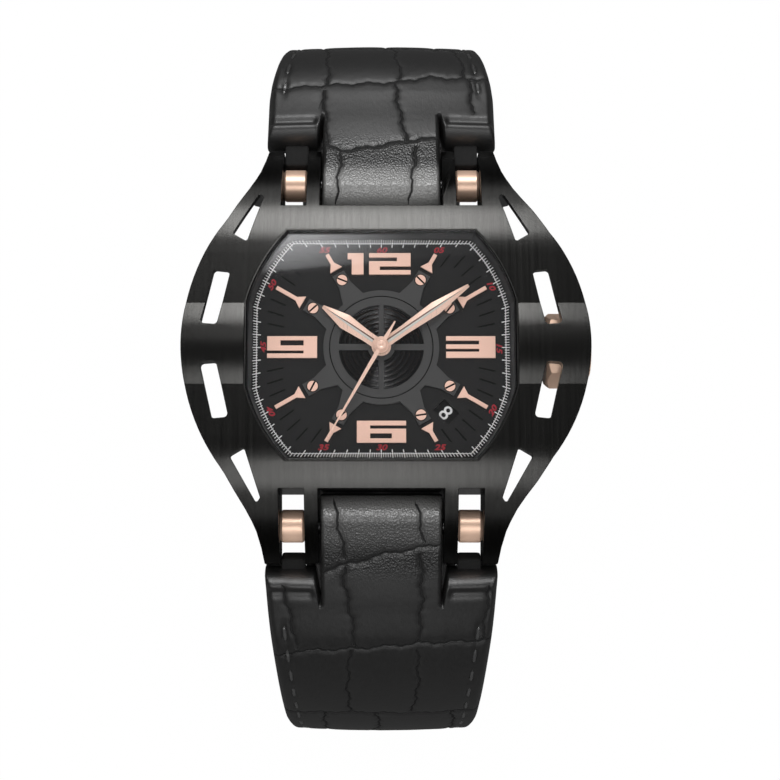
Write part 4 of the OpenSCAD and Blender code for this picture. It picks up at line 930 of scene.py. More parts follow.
    def band(self, levels: list[tuple[float, float]], closed: bool) -> tuple[np.ndarray, list[list[int]]]:
        """Joins outlines of the opening into a band.

        Args:
            levels: offset and height of each outline, up the outside or round the section.
            closed: join the last outline to the first; if not, both ends get flat caps.
        Returns:
            Points and faces.
        """
        ring = [self.outline.outline(offset) for offset, _ in levels]
        grid = np.stack([np.column_stack([xy, np.full(len(xy), z)]) for xy, (_, z) in zip(ring, levels)])
        rows, cols = grid.shape[:2]
        quads = grid_quads(rows, cols, closed, True)
        if closed:
            return grid.reshape(-1, 3), quads[:, ::-1].tolist()
        caps = [list(range(cols))[::-1], list(range((rows - 1) * cols, rows * cols))]
        return grid.reshape(-1, 3), quads.tolist() + caps

    def flange(self) -> None:
        """Black sloped ring between the dial and the glass, the thin seal, and the glass itself."""
        foot, slope_top, seal_top, seat = self.top + self.ink, 12.22, 13.0, 12.27
        slope = [(-0.05, foot), (-0.42, foot), (-0.12, slope_top), (-0.05, slope_top)]
        seal = [(-0.02, seat), (-0.1, seat), (-0.1, seal_top), (-0.02, seal_top)]
        glass = [(-0.12, seat), (-0.12, 13.3), (-0.2, 13.52), (-0.42, 13.67), (-0.75, 13.7)]
        for name, levels, closed, finish, slot, node in (
                ("sloped_flange", slope, True, FLANGE, "black_flange", "inner_flange"),
                ("glass_seal", seal, True, SEAL, "black_seal", "crystal_gasket"),
                ("glass_plate", glass, False, GLASS, "glass", "crystal")):
            points, faces = self.band(levels, closed)
            Piece(name, points, faces, [finish], smooth=False).seat("watch_case", slot, node)

    def ring_line(self) -> None:
        """Thin black line in the groove round the raised ring."""
        profile = np.array([[self.line_r[0], self.line_z], [self.line_r[1], self.line_z],
                            [self.line_r[1], self.line_z + self.ink], [self.line_r[0], self.line_z + self.ink]])
        points, quads = lathed(profile[::-1], (0.0, 0.0), 128)
        Piece("ring_line", points, quads, [DARK_PRINT_AND_SHADE]).seat("watch_case", "dial_grey")

    def build(self) -> None:
        """Makes and dresses the whole dial."""
        dress(self.frame, DIAL_PAINT, "dial_plate")
        dress(self.frame, BRIDGE_PAINT, "dial_bridge")
        dress(self.frame, ROSE, "applied_numerals", "hour_markers", "dial_screws")
        dress(self.frame, DATE_PAINT, "date_disc")
        self.track()
        self.dashes()
        self.numbers()
        self.date_numbers()
        self.rings()
        self.flange()
        self.ring_line()
        self.screw_shades()


# Hands
@dataclass
class Hand:
    """A lance-shaped hand with two facets, a channel darkened with painted shade and a pale strip in it.

    Attributes:
        name, node, body: the new piece, the node that it stands for and the body that carries it.
        length: from the hand axis to the tip.
        hub_w, wide, tip_half: full width by the hub and at the widest place, half width at the tip.
        hub_r, bore: outer and inner radius of the boss.
        low: height of the underside.
        clock: direction in degrees clockwise from 12 o'clock.
        shade_side: 1 or -1, the side of the channel that holds the pale strip.
    """

    name: str
    node: str
    body: str
    length: float
    hub_w: float
    wide: float
    hub_r: float
    bore: float
    low: float
    clock: float
    thick: float = 0.2
    edge_h: float = 0.07
    channel_h: float = 0.1
    channel_w: float = 0.25
    shade_side: int = 1
    tip_half: float = 0.2

    def build(self) -> None:
        """Makes the hand.

        Along the hand the half width goes through four stations. Across it, the section climbs from the
        thin edge to the channel's rim, drops to the channel's floor and repeats mirrored.
        """
        start, waist, belly = -0.3, 0.25 * self.length, 0.62 * self.length
        x = np.unique(np.concatenate([np.linspace(start, self.length, 50), [waist, belly]]))
        half = np.interp(x, [start, waist, belly, self.length],
                         [self.hub_w / 2, self.hub_w / 2, self.wide / 2, self.tip_half])
        gap = self.channel_w * np.interp(x, [0, 0.55 * self.length, 0.93 * self.length], [1, 0.8, 0.02])
        gap = np.minimum(gap, half * 0.6)
        across = np.stack([-half, -half, -gap, -gap, gap * 0.3, gap, gap, half, half], -1)
        height = np.array([0, self.edge_h, self.thick, *[self.channel_h] * 3, self.thick, self.edge_h, 0])
        if self.shade_side < 0:
            across = -across[:, ::-1]
        cols = len(height)
        points = np.stack(np.broadcast_arrays(x[:, None], across, self.low + height), -1).reshape(-1, 3)
        quads = grid_quads(len(x), cols, wrap_cols=True)
        column = np.tile(np.arange(cols), len(x) - 1)
        # Finish of each face round the section: the channel's walls and the floor beside the pale strip take the
        # dark channel colour, painted shade.
        kinds = [0, 0, 1, 2, 1, 1, 0, 0, 0]
        finish = np.array(kinds if self.shade_side > 0 else kinds[-2::-1] + [0])[column]
        caps = [list(range(cols)), list(range((len(x) - 1) * cols, len(x) * cols))[::-1]]
        faces = quads[:, ::-1].tolist() + caps
        which = np.concatenate([finish, [0, 0]])
        hub, hub_quads = self.hub()
        faces += (hub_quads + len(points)).tolist()
        which = np.concatenate([which, np.zeros(len(hub_quads), int)])
        points = self.turned(np.concatenate([points, hub]))
        Piece(self.name, points, faces, [ROSE_HAND, CHANNEL_SHADE, LUME], which.astype(np.int32), smooth=False).seat(
            self.body, "rose_gold", self.node)

    def hub(self) -> tuple[np.ndarray, np.ndarray]:
        """Flat boss with a rounded rim round the hand's bore."""
        rim_r, sink = 0.08, 0.02
        low, shoulder = self.low - sink, self.low + self.thick - sink
        rim = [self.hub_r - rim_r, shoulder] + polar(rim_r, np.linspace(0, 90, 5))
        profile = np.concatenate([[[self.bore, low], [self.hub_r, low]], rim, [[self.bore, shoulder + rim_r]]])
        return lathed(profile[::-1], (0.0, 0.0), 64)

    def turned(self, points: np.ndarray) -> np.ndarray:
        """Turns the hand to its clock direction."""
        angle = math.radians(90 - self.clock)
        turn = np.array([[math.cos(angle), -math.sin(angle)], [math.sin(angle), math.cos(angle)]])
        return np.concatenate([points[:, :2] @ turn.T, points[:, 2:]], -1)


@dataclass
class Hands:
    """The three hands and the cap on the seconds hand."""

    frame: dict
    cap_r: float = 0.6
    cap_low: float = 11.99
    cap_h: float = 0.1

    def cap(self) -> None:
        """Flat cap with a rounded rim and a small pin head in the middle."""
        share = np.linspace(0, math.pi / 2, 6)
        rim = np.stack([self.cap_r - self.cap_h + self.cap_h * np.sin(share),
                        self.cap_low + self.cap_h * np.cos(share)], -1)
        top = self.cap_low + self.cap_h
        pin = np.array([[0.0, top + 0.04], [0.1, top + 0.04], [0.13, top + 0.01], [0.13, top - 0.02],
                        [0.17, top - 0.02], [0.19, top]])
        profile = np.concatenate([pin, rim, [[0.0, self.cap_low - 0.02]]])
        points, quads = lathed(profile[::-1], (0.0, 0.0), 48)
        points, faces, _ = welded(points, quads)
        Piece("seconds_cap", points, faces, [ROSE_HAND]).seat("seconds_train", "rose_gold")

    def build(self) -> None:
        """Makes all the hands."""
        Hand("hour_lance", "hour_hand", "hour_train", length=8.5, hub_w=1.39, wide=1.9, hub_r=1.17, bore=0.92,
             low=10.85, clock=304.6, shade_side=-1).build()
        Hand("minute_lance", "minute_hand", "minute_train", length=12.75, hub_w=1.2, wide=1.65, hub_r=0.92,
             bore=0.62, low=11.3, clock=55.0).build()
        dress(self.frame, ROSE_HAND, "seconds_hand")
        self.cap()


# Strap
@dataclass
class StrapPath:
    """Middle line of a strap half seen from the side: straight runs and bends from the lug bar on.

    Attributes:
        drop: slope at the bar, in degrees below the level.
        runs: length of each run and the bend in degrees over it.
        bar_y, bar_z: place of the bar.
    """

    drop: float
    runs: tuple[tuple[float, float], ...]
    bar_y: float = 21.05
    bar_z: float = 6.0

    def __post_init__(self) -> None:
        """Works out the total length and a fine table of places.

        Each run is a length and the bend in degrees over it. The direction is the drop plus the bends so
        far, and the place is the running sum of its cosine and sine.
        """
        ends = np.concatenate([[0], np.cumsum([r[0] for r in self.runs])])
        bends = np.concatenate([[0], np.cumsum([r[1] for r in self.runs])])
        self.total = float(ends[-1])
        self.s = np.linspace(0, self.total, 3000)
        self.angle = np.radians(self.drop + np.interp(self.s, ends, bends))
        step = np.diff(self.s)
        mid = (self.angle[1:] + self.angle[:-1]) / 2
        self.y = self.bar_y + np.concatenate([[0], np.cumsum(step * np.cos(mid))])
        self.z = self.bar_z - np.concatenate([[0], np.cumsum(step * np.sin(mid))])

    def at(self, s: np.ndarray) -> tuple[np.ndarray, np.ndarray, np.ndarray]:
        """Y, Z and direction at distances s; beyond either end the line runs straight on."""
        inside = np.clip(s, 0, self.total)
        angle = np.interp(inside, self.s, self.angle)
        extra = s - inside
        return (np.interp(inside, self.s, self.y) + extra * np.cos(angle),
                np.interp(inside, self.s, self.z) - extra * np.sin(angle), angle)


@dataclass
class StrapHalf:
    """One padded strap half: its outline, thickness, tile creases and stitching.

    Places on it are the distance s along the middle line from the bar and the offset x from its middle.
    The tongue is the narrow end in the case's slot; the shoulders beside it start behind the lugs.

    Attributes:
        name, node, body: the new piece, the node that it stands for and the body that carries it.
        side: 1 towards 12 o'clock and -1 towards 6 o'clock.
        path: the middle line.
        narrow_z: height at which the half has fallen to its lower width.
        creases: the creases that are seen near the case, as places (x, s).
        later_rows: where the seeded rows of tiles start, and their pitch.
        stitch_start: where the stitching starts.
        seed: seed of the tiles further down.
        shoulder_step: how far the shoulders reach towards the case past the tongue's root.
        tab_start: where the leather ends in the lug slots start.
        nose_share, pale_share, pale_end: painted light on the end's face and on its top, and where it stops.
    """

    name: str
    node: str
    body: str
    side: int
    path: StrapPath
    narrow_z: float
    creases: list[list[tuple[float, float]]]
    later_rows: tuple[float, float]
    stitch_start: float
    seed: int
    shoulder_step: float
    tab_start: float
    nose_share: float
    pale_share: float
    pale_end: float
    tongue_half: float = 7.36
    tongue_r: float = 3.93
    root_half_t: float = 2.5
    thin_half_t: float = 1.8
    end_half_t: float = 1.5
    crest_h: float = 3.25
    crest_end: float = 12.0
    shoulder_s: float = 8.9
    half_w: float = 14.2
    waist_half_w: float = 12.3
    low_half_w: float = 11.0
    row_step: float = 0.21
    far_step: float = 0.5
    near_s: float = 38.0
    col_step: float = 0.22
    groove: float = 0.12
    groove_w: float = 0.24
    tab_x: float = 10.6
    tab_half_w: float = 1.46
    tab_half_t: float = 1.2
    tab_sink: float = 0.8
    stitch_inset: float = 2.0
    stitch_pitch: float = 3.1
    stitch_len: float = 1.9
    stitch_r: float = 0.27
    buckle_loop_r: float = 2.1
    slot_half_w: float = 1.4
    slot_len: float = 2.6
    tip_len: float = 8.0
    tip_reach: float = 8.25
    hole_r: float = 1.1
    hole_first: float = 9.0
    hole_pitch: float = 6.0
    hole_count: int = 7

    @property
    def buckle_end(self) -> bool:
        """True for the half that carries the buckle."""
        return self.side > 0

    def half_thickness(self, s: np.ndarray, upper: bool = False) -> np.ndarray:
        """Half the leather's thickness: rounded over the bar, thick at the root, thin at the end.

        Towards the case the upper face is the circle round the bar with its tangent at 45 degrees, which
        is the most that clears the slot's end when the strap lifts. It falls evenly to the padded part.
        """
        total = self.path.total
        run = np.interp(s, [13, 28, 58, total - 4],
                        [self.root_half_t, self.thin_half_t, self.thin_half_t, self.end_half_t])
        share = np.clip(np.abs(s) / self.tongue_r, 0, 1)
        at_bar = self.tongue_r * np.sqrt(1 - share ** 2)
        if upper:
            tangent = self.tongue_r * np.sqrt(2) - np.abs(s)
            at_bar = np.where((s < 0) & (share < np.sqrt(0.5)), tangent, at_bar)
        out = np.where(s < 0, at_bar, np.maximum(run, at_bar))
        if upper:
            crest = self.crest_h - (self.crest_h - self.root_half_t) * ramp(s, 0.0, self.crest_end)
            out = np.where(s > self.crest_end, out, np.where(s > 0, crest, np.minimum(out, self.crest_h)))
        if self.buckle_end:
            at_buckle = np.sqrt(np.clip(self.buckle_loop_r ** 2 - (s - total) ** 2, 0, None))
            near = np.where(s > total - self.buckle_loop_r, np.maximum(out, at_buckle), out)
            out = np.where(s > total, at_buckle, near)
        return out

    def half_width(self, s: np.ndarray) -> np.ndarray:
        """Half width: full over the lugs, narrower past the case and down the wrist."""
        y, z, _ = self.path.at(s)
        by_y = np.interp(y, [28, 44], [self.half_w, self.waist_half_w])
        by_z = np.interp(z, [self.narrow_z, 4], [self.low_half_w, self.half_w])
        width = np.minimum(by_y, by_z)
        if self.buckle_end:
            seen = np.interp(s, [13, 15.4, 20.5, 26, 34], [14.35, 14.15, 13.4, 12.6, self.low_half_w])
            width = np.maximum(width, seen)
        else:
            share = np.clip((s - self.path.total + self.tip_len) / self.tip_reach, 0, 1)
            width = width * np.sqrt(1 - share ** 2)
        return width

    def shoulder_front(self, x: np.ndarray) -> np.ndarray:
        """Where the wide part starts: further out beside the tongue, where the lug fingers need room."""
        beside = ramp(np.abs(x), self.tongue_half + 0.05, self.tongue_half + 0.6)
        return self.shoulder_s - self.shoulder_step * beside

    def edge_share(self, s: np.ndarray, x: np.ndarray) -> np.ndarray:
        """0 on the outline and 1 inside: the rolled edge follows a quarter circle over the distance to it."""
        ax = np.abs(x)
        tongue_edge, shoulder_edge, slot_edge, tip_edge, front_slope = 0.45, 1.6, 0.4, 8.6, 0.85
        wide = (s >= self.shoulder_s - 1e-9) | (ax > self.tongue_half)
        corner = np.hypot(np.maximum(s - self.shoulder_s, 0), np.maximum(self.tongue_half - ax, 0))
        front = np.where(ax > self.tongue_half, (s - self.shoulder_front(x)) * front_slope, corner)
        side = self.half_width(s) - ax
        if not self.buckle_end:
            past = s - self.path.total + self.tip_len
            oval = np.hypot(ax / self.low_half_w, np.maximum(past, 0) / self.tip_reach)
            side = np.where(past > 0, (1 - oval) * tip_edge, side)
        beside = ramp(ax, self.tongue_half, self.tongue_half + 0.8)
        front_r = tongue_edge + (shoulder_edge - tongue_edge) * beside
        out = np.where(wide, np.minimum(side, front / front_r), (self.tongue_half - ax) / tongue_edge)
        if self.buckle_end:
            past = s - self.path.total + self.slot_len
            over = ax - self.slot_half_w
            slot = np.where(past > 0, over, np.hypot(past, np.maximum(over, 0)))
            out = np.minimum(out, slot / slot_edge)
        rest = np.clip(1 - out, 0, 1)
        return np.sqrt(1 - rest ** 2)

    def rows(self) -> np.ndarray:
        """Distances of the grid's rows, closer together where the surface rolls over."""
        total = self.path.total
        start = -self.tongue_r * np.cos(np.linspace(0, np.pi / 2, 13))
        close = self.shoulder_s + np.array([0.0, 0.05, 0.15, 0.3, 0.5])
        tongue = np.linspace(0, self.shoulder_s, int(self.shoulder_s / self.row_step))
        if self.buckle_end:
            stops = [self.shoulder_s + 0.75, 30.0, total - self.slot_len, total]
            steps = [self.row_step, self.far_step, 0.3]
            last = total + self.buckle_loop_r * np.sin(np.linspace(0, np.pi / 2, 9))
        else:
            stops = [self.shoulder_s + 0.75, self.near_s, total - 48.0, total - 6.0, total - 2.0, total]
            steps = [self.row_step, self.far_step, self.far_step, 0.3, 0.1]
            last = np.array([total])
        runs = [np.linspace(a, b, round((b - a) / step) + 1) for a, b, step in zip(stops, stops[1:], steps)]
        return np.unique(np.round(np.concatenate([start, tongue, close, *runs, last]), 6))

    def columns(self) -> tuple[np.ndarray, np.ndarray]:
        """Column places: inside the tongue in millimetres, and outside it as shares up to the edge."""
        near = np.array([0.0, 0.03, 0.12, 0.27])
        slot = self.slot_half_w
        inner = np.concatenate([np.linspace(0, slot, 6), np.linspace(slot, self.tongue_half - 0.45, 25),
                                self.tongue_half - near])
        spread = self.half_w - self.tongue_half
        edge = 1 - np.array([0.75, 0.5, 0.3, 0.14, 0.04, 0.0]) / spread
        outer = np.concatenate([[0.01, 0.03], np.linspace(0.0, edge[0], int(spread / self.col_step))[1:], edge])
        return np.unique(np.round(inner, 6)), np.unique(np.round(outer, 6))

    def plan(self) -> tuple[np.ndarray, np.ndarray, np.ndarray]:
        """Distances and offsets of all grid points, and which cells are leather.

        Rows run across the strap. Beyond the shoulder they bend towards the case outside the tongue, so
        that the first of them follows the shoulder's front edge.
        """
        rows = self.rows()
        inner, outer = self.columns()
        s = rows[:, None]
        width = self.half_width(rows)[:, None]
        split = np.minimum(self.tongue_half, 0.52 * width)
        half = np.concatenate([inner[None] * split / self.tongue_half, split + (width - split) * outer[None]], 1)
        x = np.concatenate([-half[:, :0:-1], half], 1)
        outside = np.abs(x) > split + 1e-9
        fade = 1 - ramp(s, self.shoulder_s, self.shoulder_s + 9.0)
        bent = s - (self.shoulder_s - self.shoulder_front(x)) * fade * outside
        s_all = np.where(outside, bent, np.broadcast_to(s, x.shape))
        cell_s = (rows[1:] + rows[:-1]) / 2
        ax = np.abs(x)
        cell_x = (ax[1:, 1:] + ax[:-1, :-1]) / 2
        live = (cell_s[:, None] > self.shoulder_s) | (cell_x < self.tongue_half)
        if self.buckle_end:
            live &= ~((cell_x < self.slot_half_w) & (cell_s[:, None] > self.path.total - self.slot_len))
        return s_all, x, live

    def hole_places(self) -> np.ndarray:
        """Distances of the buckle holes' centres; the half that carries the buckle has none."""
        count = 0 if self.buckle_end else self.hole_count
        return self.path.total - self.hole_first - self.hole_pitch * np.arange(count)

    def holes(self, s: np.ndarray, x: np.ndarray, live: np.ndarray) -> tuple[np.ndarray, np.ndarray, np.ndarray]:
        """Opens the buckle holes.

        Round each centre a square of grid points keeps its outside, and its inside is drawn out so that
        a small square becomes the hole's circle; the cells inside that square are left out.
        """
        reach, core = 2.2, 0.55
        for middle in self.hole_places():
            away = s - middle
            far = np.maximum(np.abs(away), np.abs(x))
            share = np.clip((far - core) / (reach - core), 0, 1)
            stretch = (1 - share) * self.hole_r / np.maximum(np.hypot(away, x), 1e-9) + share
            in_core = far < core + 1e-6
            live = live & ~(in_core[1:, 1:] & in_core[:-1, 1:] & in_core[1:, :-1] & in_core[:-1, :-1])
            s = np.where(far < reach, middle + stretch * away, s)
            x = np.where(far < reach, stretch * x, x)
        return s, x, live

    def hole_share(self, s: np.ndarray, x: np.ndarray) -> np.ndarray:
        """0 on the rim of a buckle hole and 1 beyond its rolled lip."""
        out, lip = np.ones(s.shape), 0.3
        for middle in self.hole_places():
            rest = np.clip(1 - (np.hypot(s - middle, x) - self.hole_r) / lip, 0, 1)
            out = np.minimum(out, np.sqrt(1 - rest ** 2))
        return out

    def all_creases(self) -> list[np.ndarray]:
        """The creases seen near the case, then rows of tiles down the strap with seeded variation."""
        lines = [np.array(line, float) for line in self.creases]
        draw = np.random.default_rng(self.seed)
        row, step = self.later_rows
        stops = np.linspace(-15, 15, 9)
        previous = None
        while row < self.path.total - 6:
            wave = draw.uniform(-0.8, 0.8, 9)
            line = np.stack([stops, row + np.cumsum(wave) * 0.5], -1)
            lines.append(line)
            if previous is not None:
                first = draw.uniform(-9.5, -6.5)
                for x0 in (first, first + draw.uniform(6.5, 8.5), first + draw.uniform(14.5, 17.0)):
                    bow = draw.uniform(-0.7, 0.7, 2)
                    s0 = np.interp(x0, previous[:, 0], previous[:, 1])
                    s1 = np.interp(x0, line[:, 0], line[:, 1])
                    lines.append(np.array([[x0, s0], [x0 + bow[0], s0 * 0.6 + s1 * 0.4], [x0 + bow[1], s1]]))
            previous = line
            row += step * draw.uniform(0.85, 1.1)
        return lines

    def crease_distance(self, s: np.ndarray, x: np.ndarray) -> tuple[np.ndarray, np.ndarray]:
        """Distance to the nearest crease, and the same with a sign for the crease's side.

        The creases are made a little uneven by waves in the places that they are measured from.
        """
        long_wave, short_wave = 0.16, 0.07
        px = x + long_wave * np.sin(1.7 * s + 0.6 * x) + short_wave * np.sin(5.1 * s)
        ps = s + long_wave * np.sin(1.5 * x + 0.5 * s) + short_wave * np.sin(4.7 * x)
        best, signed = np.full(s.shape, 50.0), np.full(s.shape, 50.0)
        for line in self.all_creases():
            for a, b in zip(line, line[1:]):
                d = b - a
                t = np.clip(((px - a[0]) * d[0] + (ps - a[1]) * d[1]) / max(float(d @ d), 1e-9), 0, 1)
                away = np.hypot(px - a[0] - t * d[0], ps - a[1] - t * d[1])
                side = np.sign(d[0] * (ps - a[1]) - d[1] * (px - a[0]))
                signed = np.where(away < best, away * side, signed)
                best = np.minimum(best, away)
        return best, signed

    def surface(self, s: np.ndarray, x: np.ndarray, upper: bool) -> np.ndarray:
        """Height of the leather's upper or lower face over its middle line.

        Both faces follow the half thickness times the rolled edge. The upper one also has the padding's
        crown, the creases with their sunk lips, and the shallow groove of the stitching.
        """
        body = self.half_thickness(s, upper) * self.edge_share(s, x) * self.hole_share(s, x)
        if not upper:
            return -body
        crown_h, sunk, sunk_w, seam_low, seam_dip, seam_w = 0.45, 0.08, 0.9, 0.08, 0.16, 0.36
        width = self.half_width(s)
        inside = np.clip(1 - (x / np.maximum(width, 1)) ** 2, 0, 1)
        fade = ramp(s, 2, 9) * ramp(self.path.total - s, 2, 12)
        crown = crown_h * inside * fade
        away = self.crease_distance(s, x)[0]
        crease = self.groove * np.exp(-(away / self.groove_w) ** 2) + sunk * np.exp(-away / sunk_w)
        stitched = ramp(s, self.stitch_start - 1.2, self.stitch_start - 0.4)
        first = self.stitch_start + self.stitch_len / 2
        beat = 0.5 + 0.5 * np.cos(2 * np.pi * (s - first) / self.stitch_pitch)
        from_seam = (width - np.abs(x) - self.stitch_inset) / seam_w
        seam = (seam_low + seam_dip * beat) * np.exp(-from_seam ** 2) * stitched
        lip = self.shoulder_lip(s, x)
        return body + (crown - crease - seam - lip) * np.clip(self.edge_share(s, x) * 1.4 - 0.4, 0, 1)

    def shoulder_lip(self, s: np.ndarray, x: np.ndarray) -> np.ndarray:
        """Groove behind the shoulder's folded front edge."""
        away = s - self.shoulder_front(x) - 2.1
        beside = ramp(np.abs(x), self.tongue_half + 0.5, self.tongue_half + 1.2)
        return 0.4 * np.exp(-(away / 0.5) ** 2) * beside

    def placed(self, s: np.ndarray, x: np.ndarray, n: np.ndarray) -> np.ndarray:
        """Points in the watch's frame from the distance, the offset and the height over the middle line."""
        y, z, angle = self.path.at(s)
        return np.stack([x, self.side * (y + n * np.sin(angle)), z + n * np.cos(angle)], -1)

    def build(self) -> None:
        """Makes the leather and its stitches."""
        s, x, live = self.holes(*self.plan())
        both = [self.placed(s, x, self.surface(s, x, upper)).reshape(-1, 3) for upper in (True, False)]
        quads = grid_quads(*s.shape)[live.reshape(-1)]
        quads = np.concatenate([quads, quads[:, ::-1] + s.size])[:, ::self.side]
        points, faces, first = welded(np.concatenate(both), quads)
        piece = Piece(self.name, points, faces, [STRAP_LEATHER])
        away, signed = self.crease_distance(s, x)
        # Painted light: the end by the case is painted paler, most on the face of its end, which lies in shade,
        # and on its top near the bar, where a highlight falls.
        painted_nose_light = (self.nose_share - self.pale_share) * (1 - ramp(s, -3.6, -1.4))
        pale = painted_nose_light + self.pale_share * (1 - ramp(s, -1.2, self.pale_end))
        crease = np.clip(1 - away / 0.7, 0, 1) * self.edge_share(s, x)
        pebbled, pebbled_below = 1 - ramp(s, 3.0, 7.0), 0.15
        for name, above, below in (("pale", pale, 0.0), ("crease", crease, 0.0),
                                   ("crease_side", signed, 0.0), ("pebbled", pebbled, pebbled_below)):
            piece.paint(name, np.concatenate([above.reshape(-1), np.full(s.size, below)])[first])
        piece.seat(self.body, "leather", self.node)
        self.stitches()
        self.tabs()

    def tabs(self) -> None:
        """Leather ends that reach into the lug slots towards the sleeves: blocks with rounded edges.

        Each is a squared-off ball: the powers of its sines and cosines press it towards a box.
        """
        rise = np.linspace(-np.pi / 2, np.pi / 2, 25)[:, None]
        turn = np.linspace(0, 2 * np.pi, 36, endpoint=False)[None, :]
        press, sunk_in = 0.2, 1.6
        section = squared(np.cos(rise), press)
        end = self.shoulder_s - self.shoulder_step + sunk_in
        middle, reach = (self.tab_start + end) / 2, (end - self.tab_start) / 2
        along = middle + squared(np.sin(rise), press) * reach + 0 * turn
        across = section * squared(np.cos(turn), press) * self.tab_half_w
        height = section * squared(np.sin(turn), press) * self.tab_half_t
        for number, way in enumerate((-1, 1)):
            points = self.placed(along, across + way * self.tab_x, height - self.tab_sink).reshape(-1, 3)
            points, faces, _ = welded(points, grid_quads(*along.shape, wrap_cols=True))
            piece = Piece(f"{self.name}_tab_{number}", points, faces, [STRAP_LEATHER])
            piece.face_out()
            # Painted shade: the whole tab counts as a crease, so it is coloured near black and dull, as if in the
            # lugs' shadow.
            piece.paint("crease", np.ones(len(points)))
            piece.seat(self.body, "leather")

    def stitches(self) -> None:
        """Rows of short thread stitches along both edges, on the upper and the lower face.

        A stitch is a flat capsule: along it the thickness follows a half ellipse, and across it a circle.
        """
        bare = 13.0 if self.buckle_end else 9.0
        middles = np.arange(self.stitch_start + self.stitch_len / 2, self.path.total - bare, self.stitch_pitch)
        along = np.linspace(-1, 1, 7)
        turn = np.linspace(0, 2 * np.pi, 7)[:-1]
        shape = (2, 2, len(middles), len(along), len(turn))
        sides = np.array([-1.0, 1.0])[None, :, None, None, None]
        s = middles[None, None, :, None, None] + along[None, None, None, :, None] * self.stitch_len / 2
        s = np.broadcast_to(s, shape)
        slim = np.sqrt(np.clip(1 - along ** 2, 0, 1)) ** 0.6
        swell = self.stitch_r * slim[None, None, None, :, None]
        centre = sides * (self.half_width(s) - self.stitch_inset)
        x = centre + swell * np.cos(turn)
        base = np.stack([self.surface(s[0], centre[0], True), self.surface(s[1], centre[1], False)])
        lift = np.array([1.0, -1.0])[:, None, None, None, None]
        n = base + lift * (0.02 + swell * 0.8 * np.sin(turn))
        points = self.placed(s, x, n).reshape(-1, 3)
        one = grid_quads(len(along), len(turn), wrap_cols=True)
        starts = np.arange(0, len(points), len(along) * len(turn))
        points, faces, _ = welded(points, (one[None] + starts[:, None, None]).reshape(-1, 4))
        piece = Piece(self.name + "_stitches", points, faces, [THREAD])
        piece.face_out()
        piece.seat(self.body, "leather")


@dataclass
class Keeper:
    """Leather loop round the strap: a rounded band carried along a rounded rectangle.

    Attributes:
        name, node, body: the new piece, the node that it stands for and the body that carries it.
        path: the strap half's middle line.
        at: the loop's distance from the bar along it.
        below, above: how far the loop's inside reaches below and above the middle line.
        inner_half, thick, length, corner: inner half width, thickness, width along the strap and corner radius.
    """

    name: str
    node: str
    body: str
    path: StrapPath
    at: float
    below: float
    above: float = 5.0
    inner_half: float = 11.3
    thick: float = 1.3
    length: float = 5.0
    corner: float = 1.1

    def loop(self, steps: int = 10) -> tuple[np.ndarray, np.ndarray]:
        """Middle line of the band and its outward direction: four straight sides and four quarter circles."""
        half = self.thick / 2
        right, low, high = self.inner_half + half, -self.below - half, self.above + half
        r = self.corner
        points, normals = [], []
        for cx, cz, start in ((right - r, high - r, 0), (-right + r, high - r, 90),
                              (-right + r, low + r, 180), (right - r, low + r, 270)):
            angle = np.radians(start + np.linspace(0, 90, steps))
            way = np.stack([np.cos(angle), np.sin(angle)], -1)
            points.append(np.array([cx, cz]) + r * way)
            normals.append(way)
        return np.concatenate(points), np.concatenate(normals)

    def build(self) -> None:
        """Makes the band: its section is a rectangle with rounded edges, given by a squared-off ellipse."""
        centre, outward = self.loop()
        turn = np.linspace(0, 2 * np.pi, 28, endpoint=False)
        across = squared(np.cos(turn), 0.35) * self.length / 2
        rise = squared(np.sin(turn), 0.45) * self.thick / 2
        x = centre[:, None, 0] + outward[:, None, 0] * rise[None]
        n = centre[:, None, 1] + outward[:, None, 1] * rise[None]
        y, z, angle = self.path.at(np.array([self.at]))
        along = np.broadcast_to(across[None], x.shape)
        points = np.stack([x, y + along * np.cos(angle) + n * np.sin(angle),
                           z - along * np.sin(angle) + n * np.cos(angle)], -1).reshape(-1, 3)
        quads = grid_quads(len(centre), len(turn), wrap_rows=True, wrap_cols=True)
        piece = Piece(self.name, points, quads, [STRAP_LEATHER])
        piece.face_out()
        piece.seat(self.body, "leather", self.node)


def bend(radius: float, degrees: float) -> tuple[float, float]:
    """One run of a strap path that bends at a radius."""
    return radius * math.radians(degrees), degrees


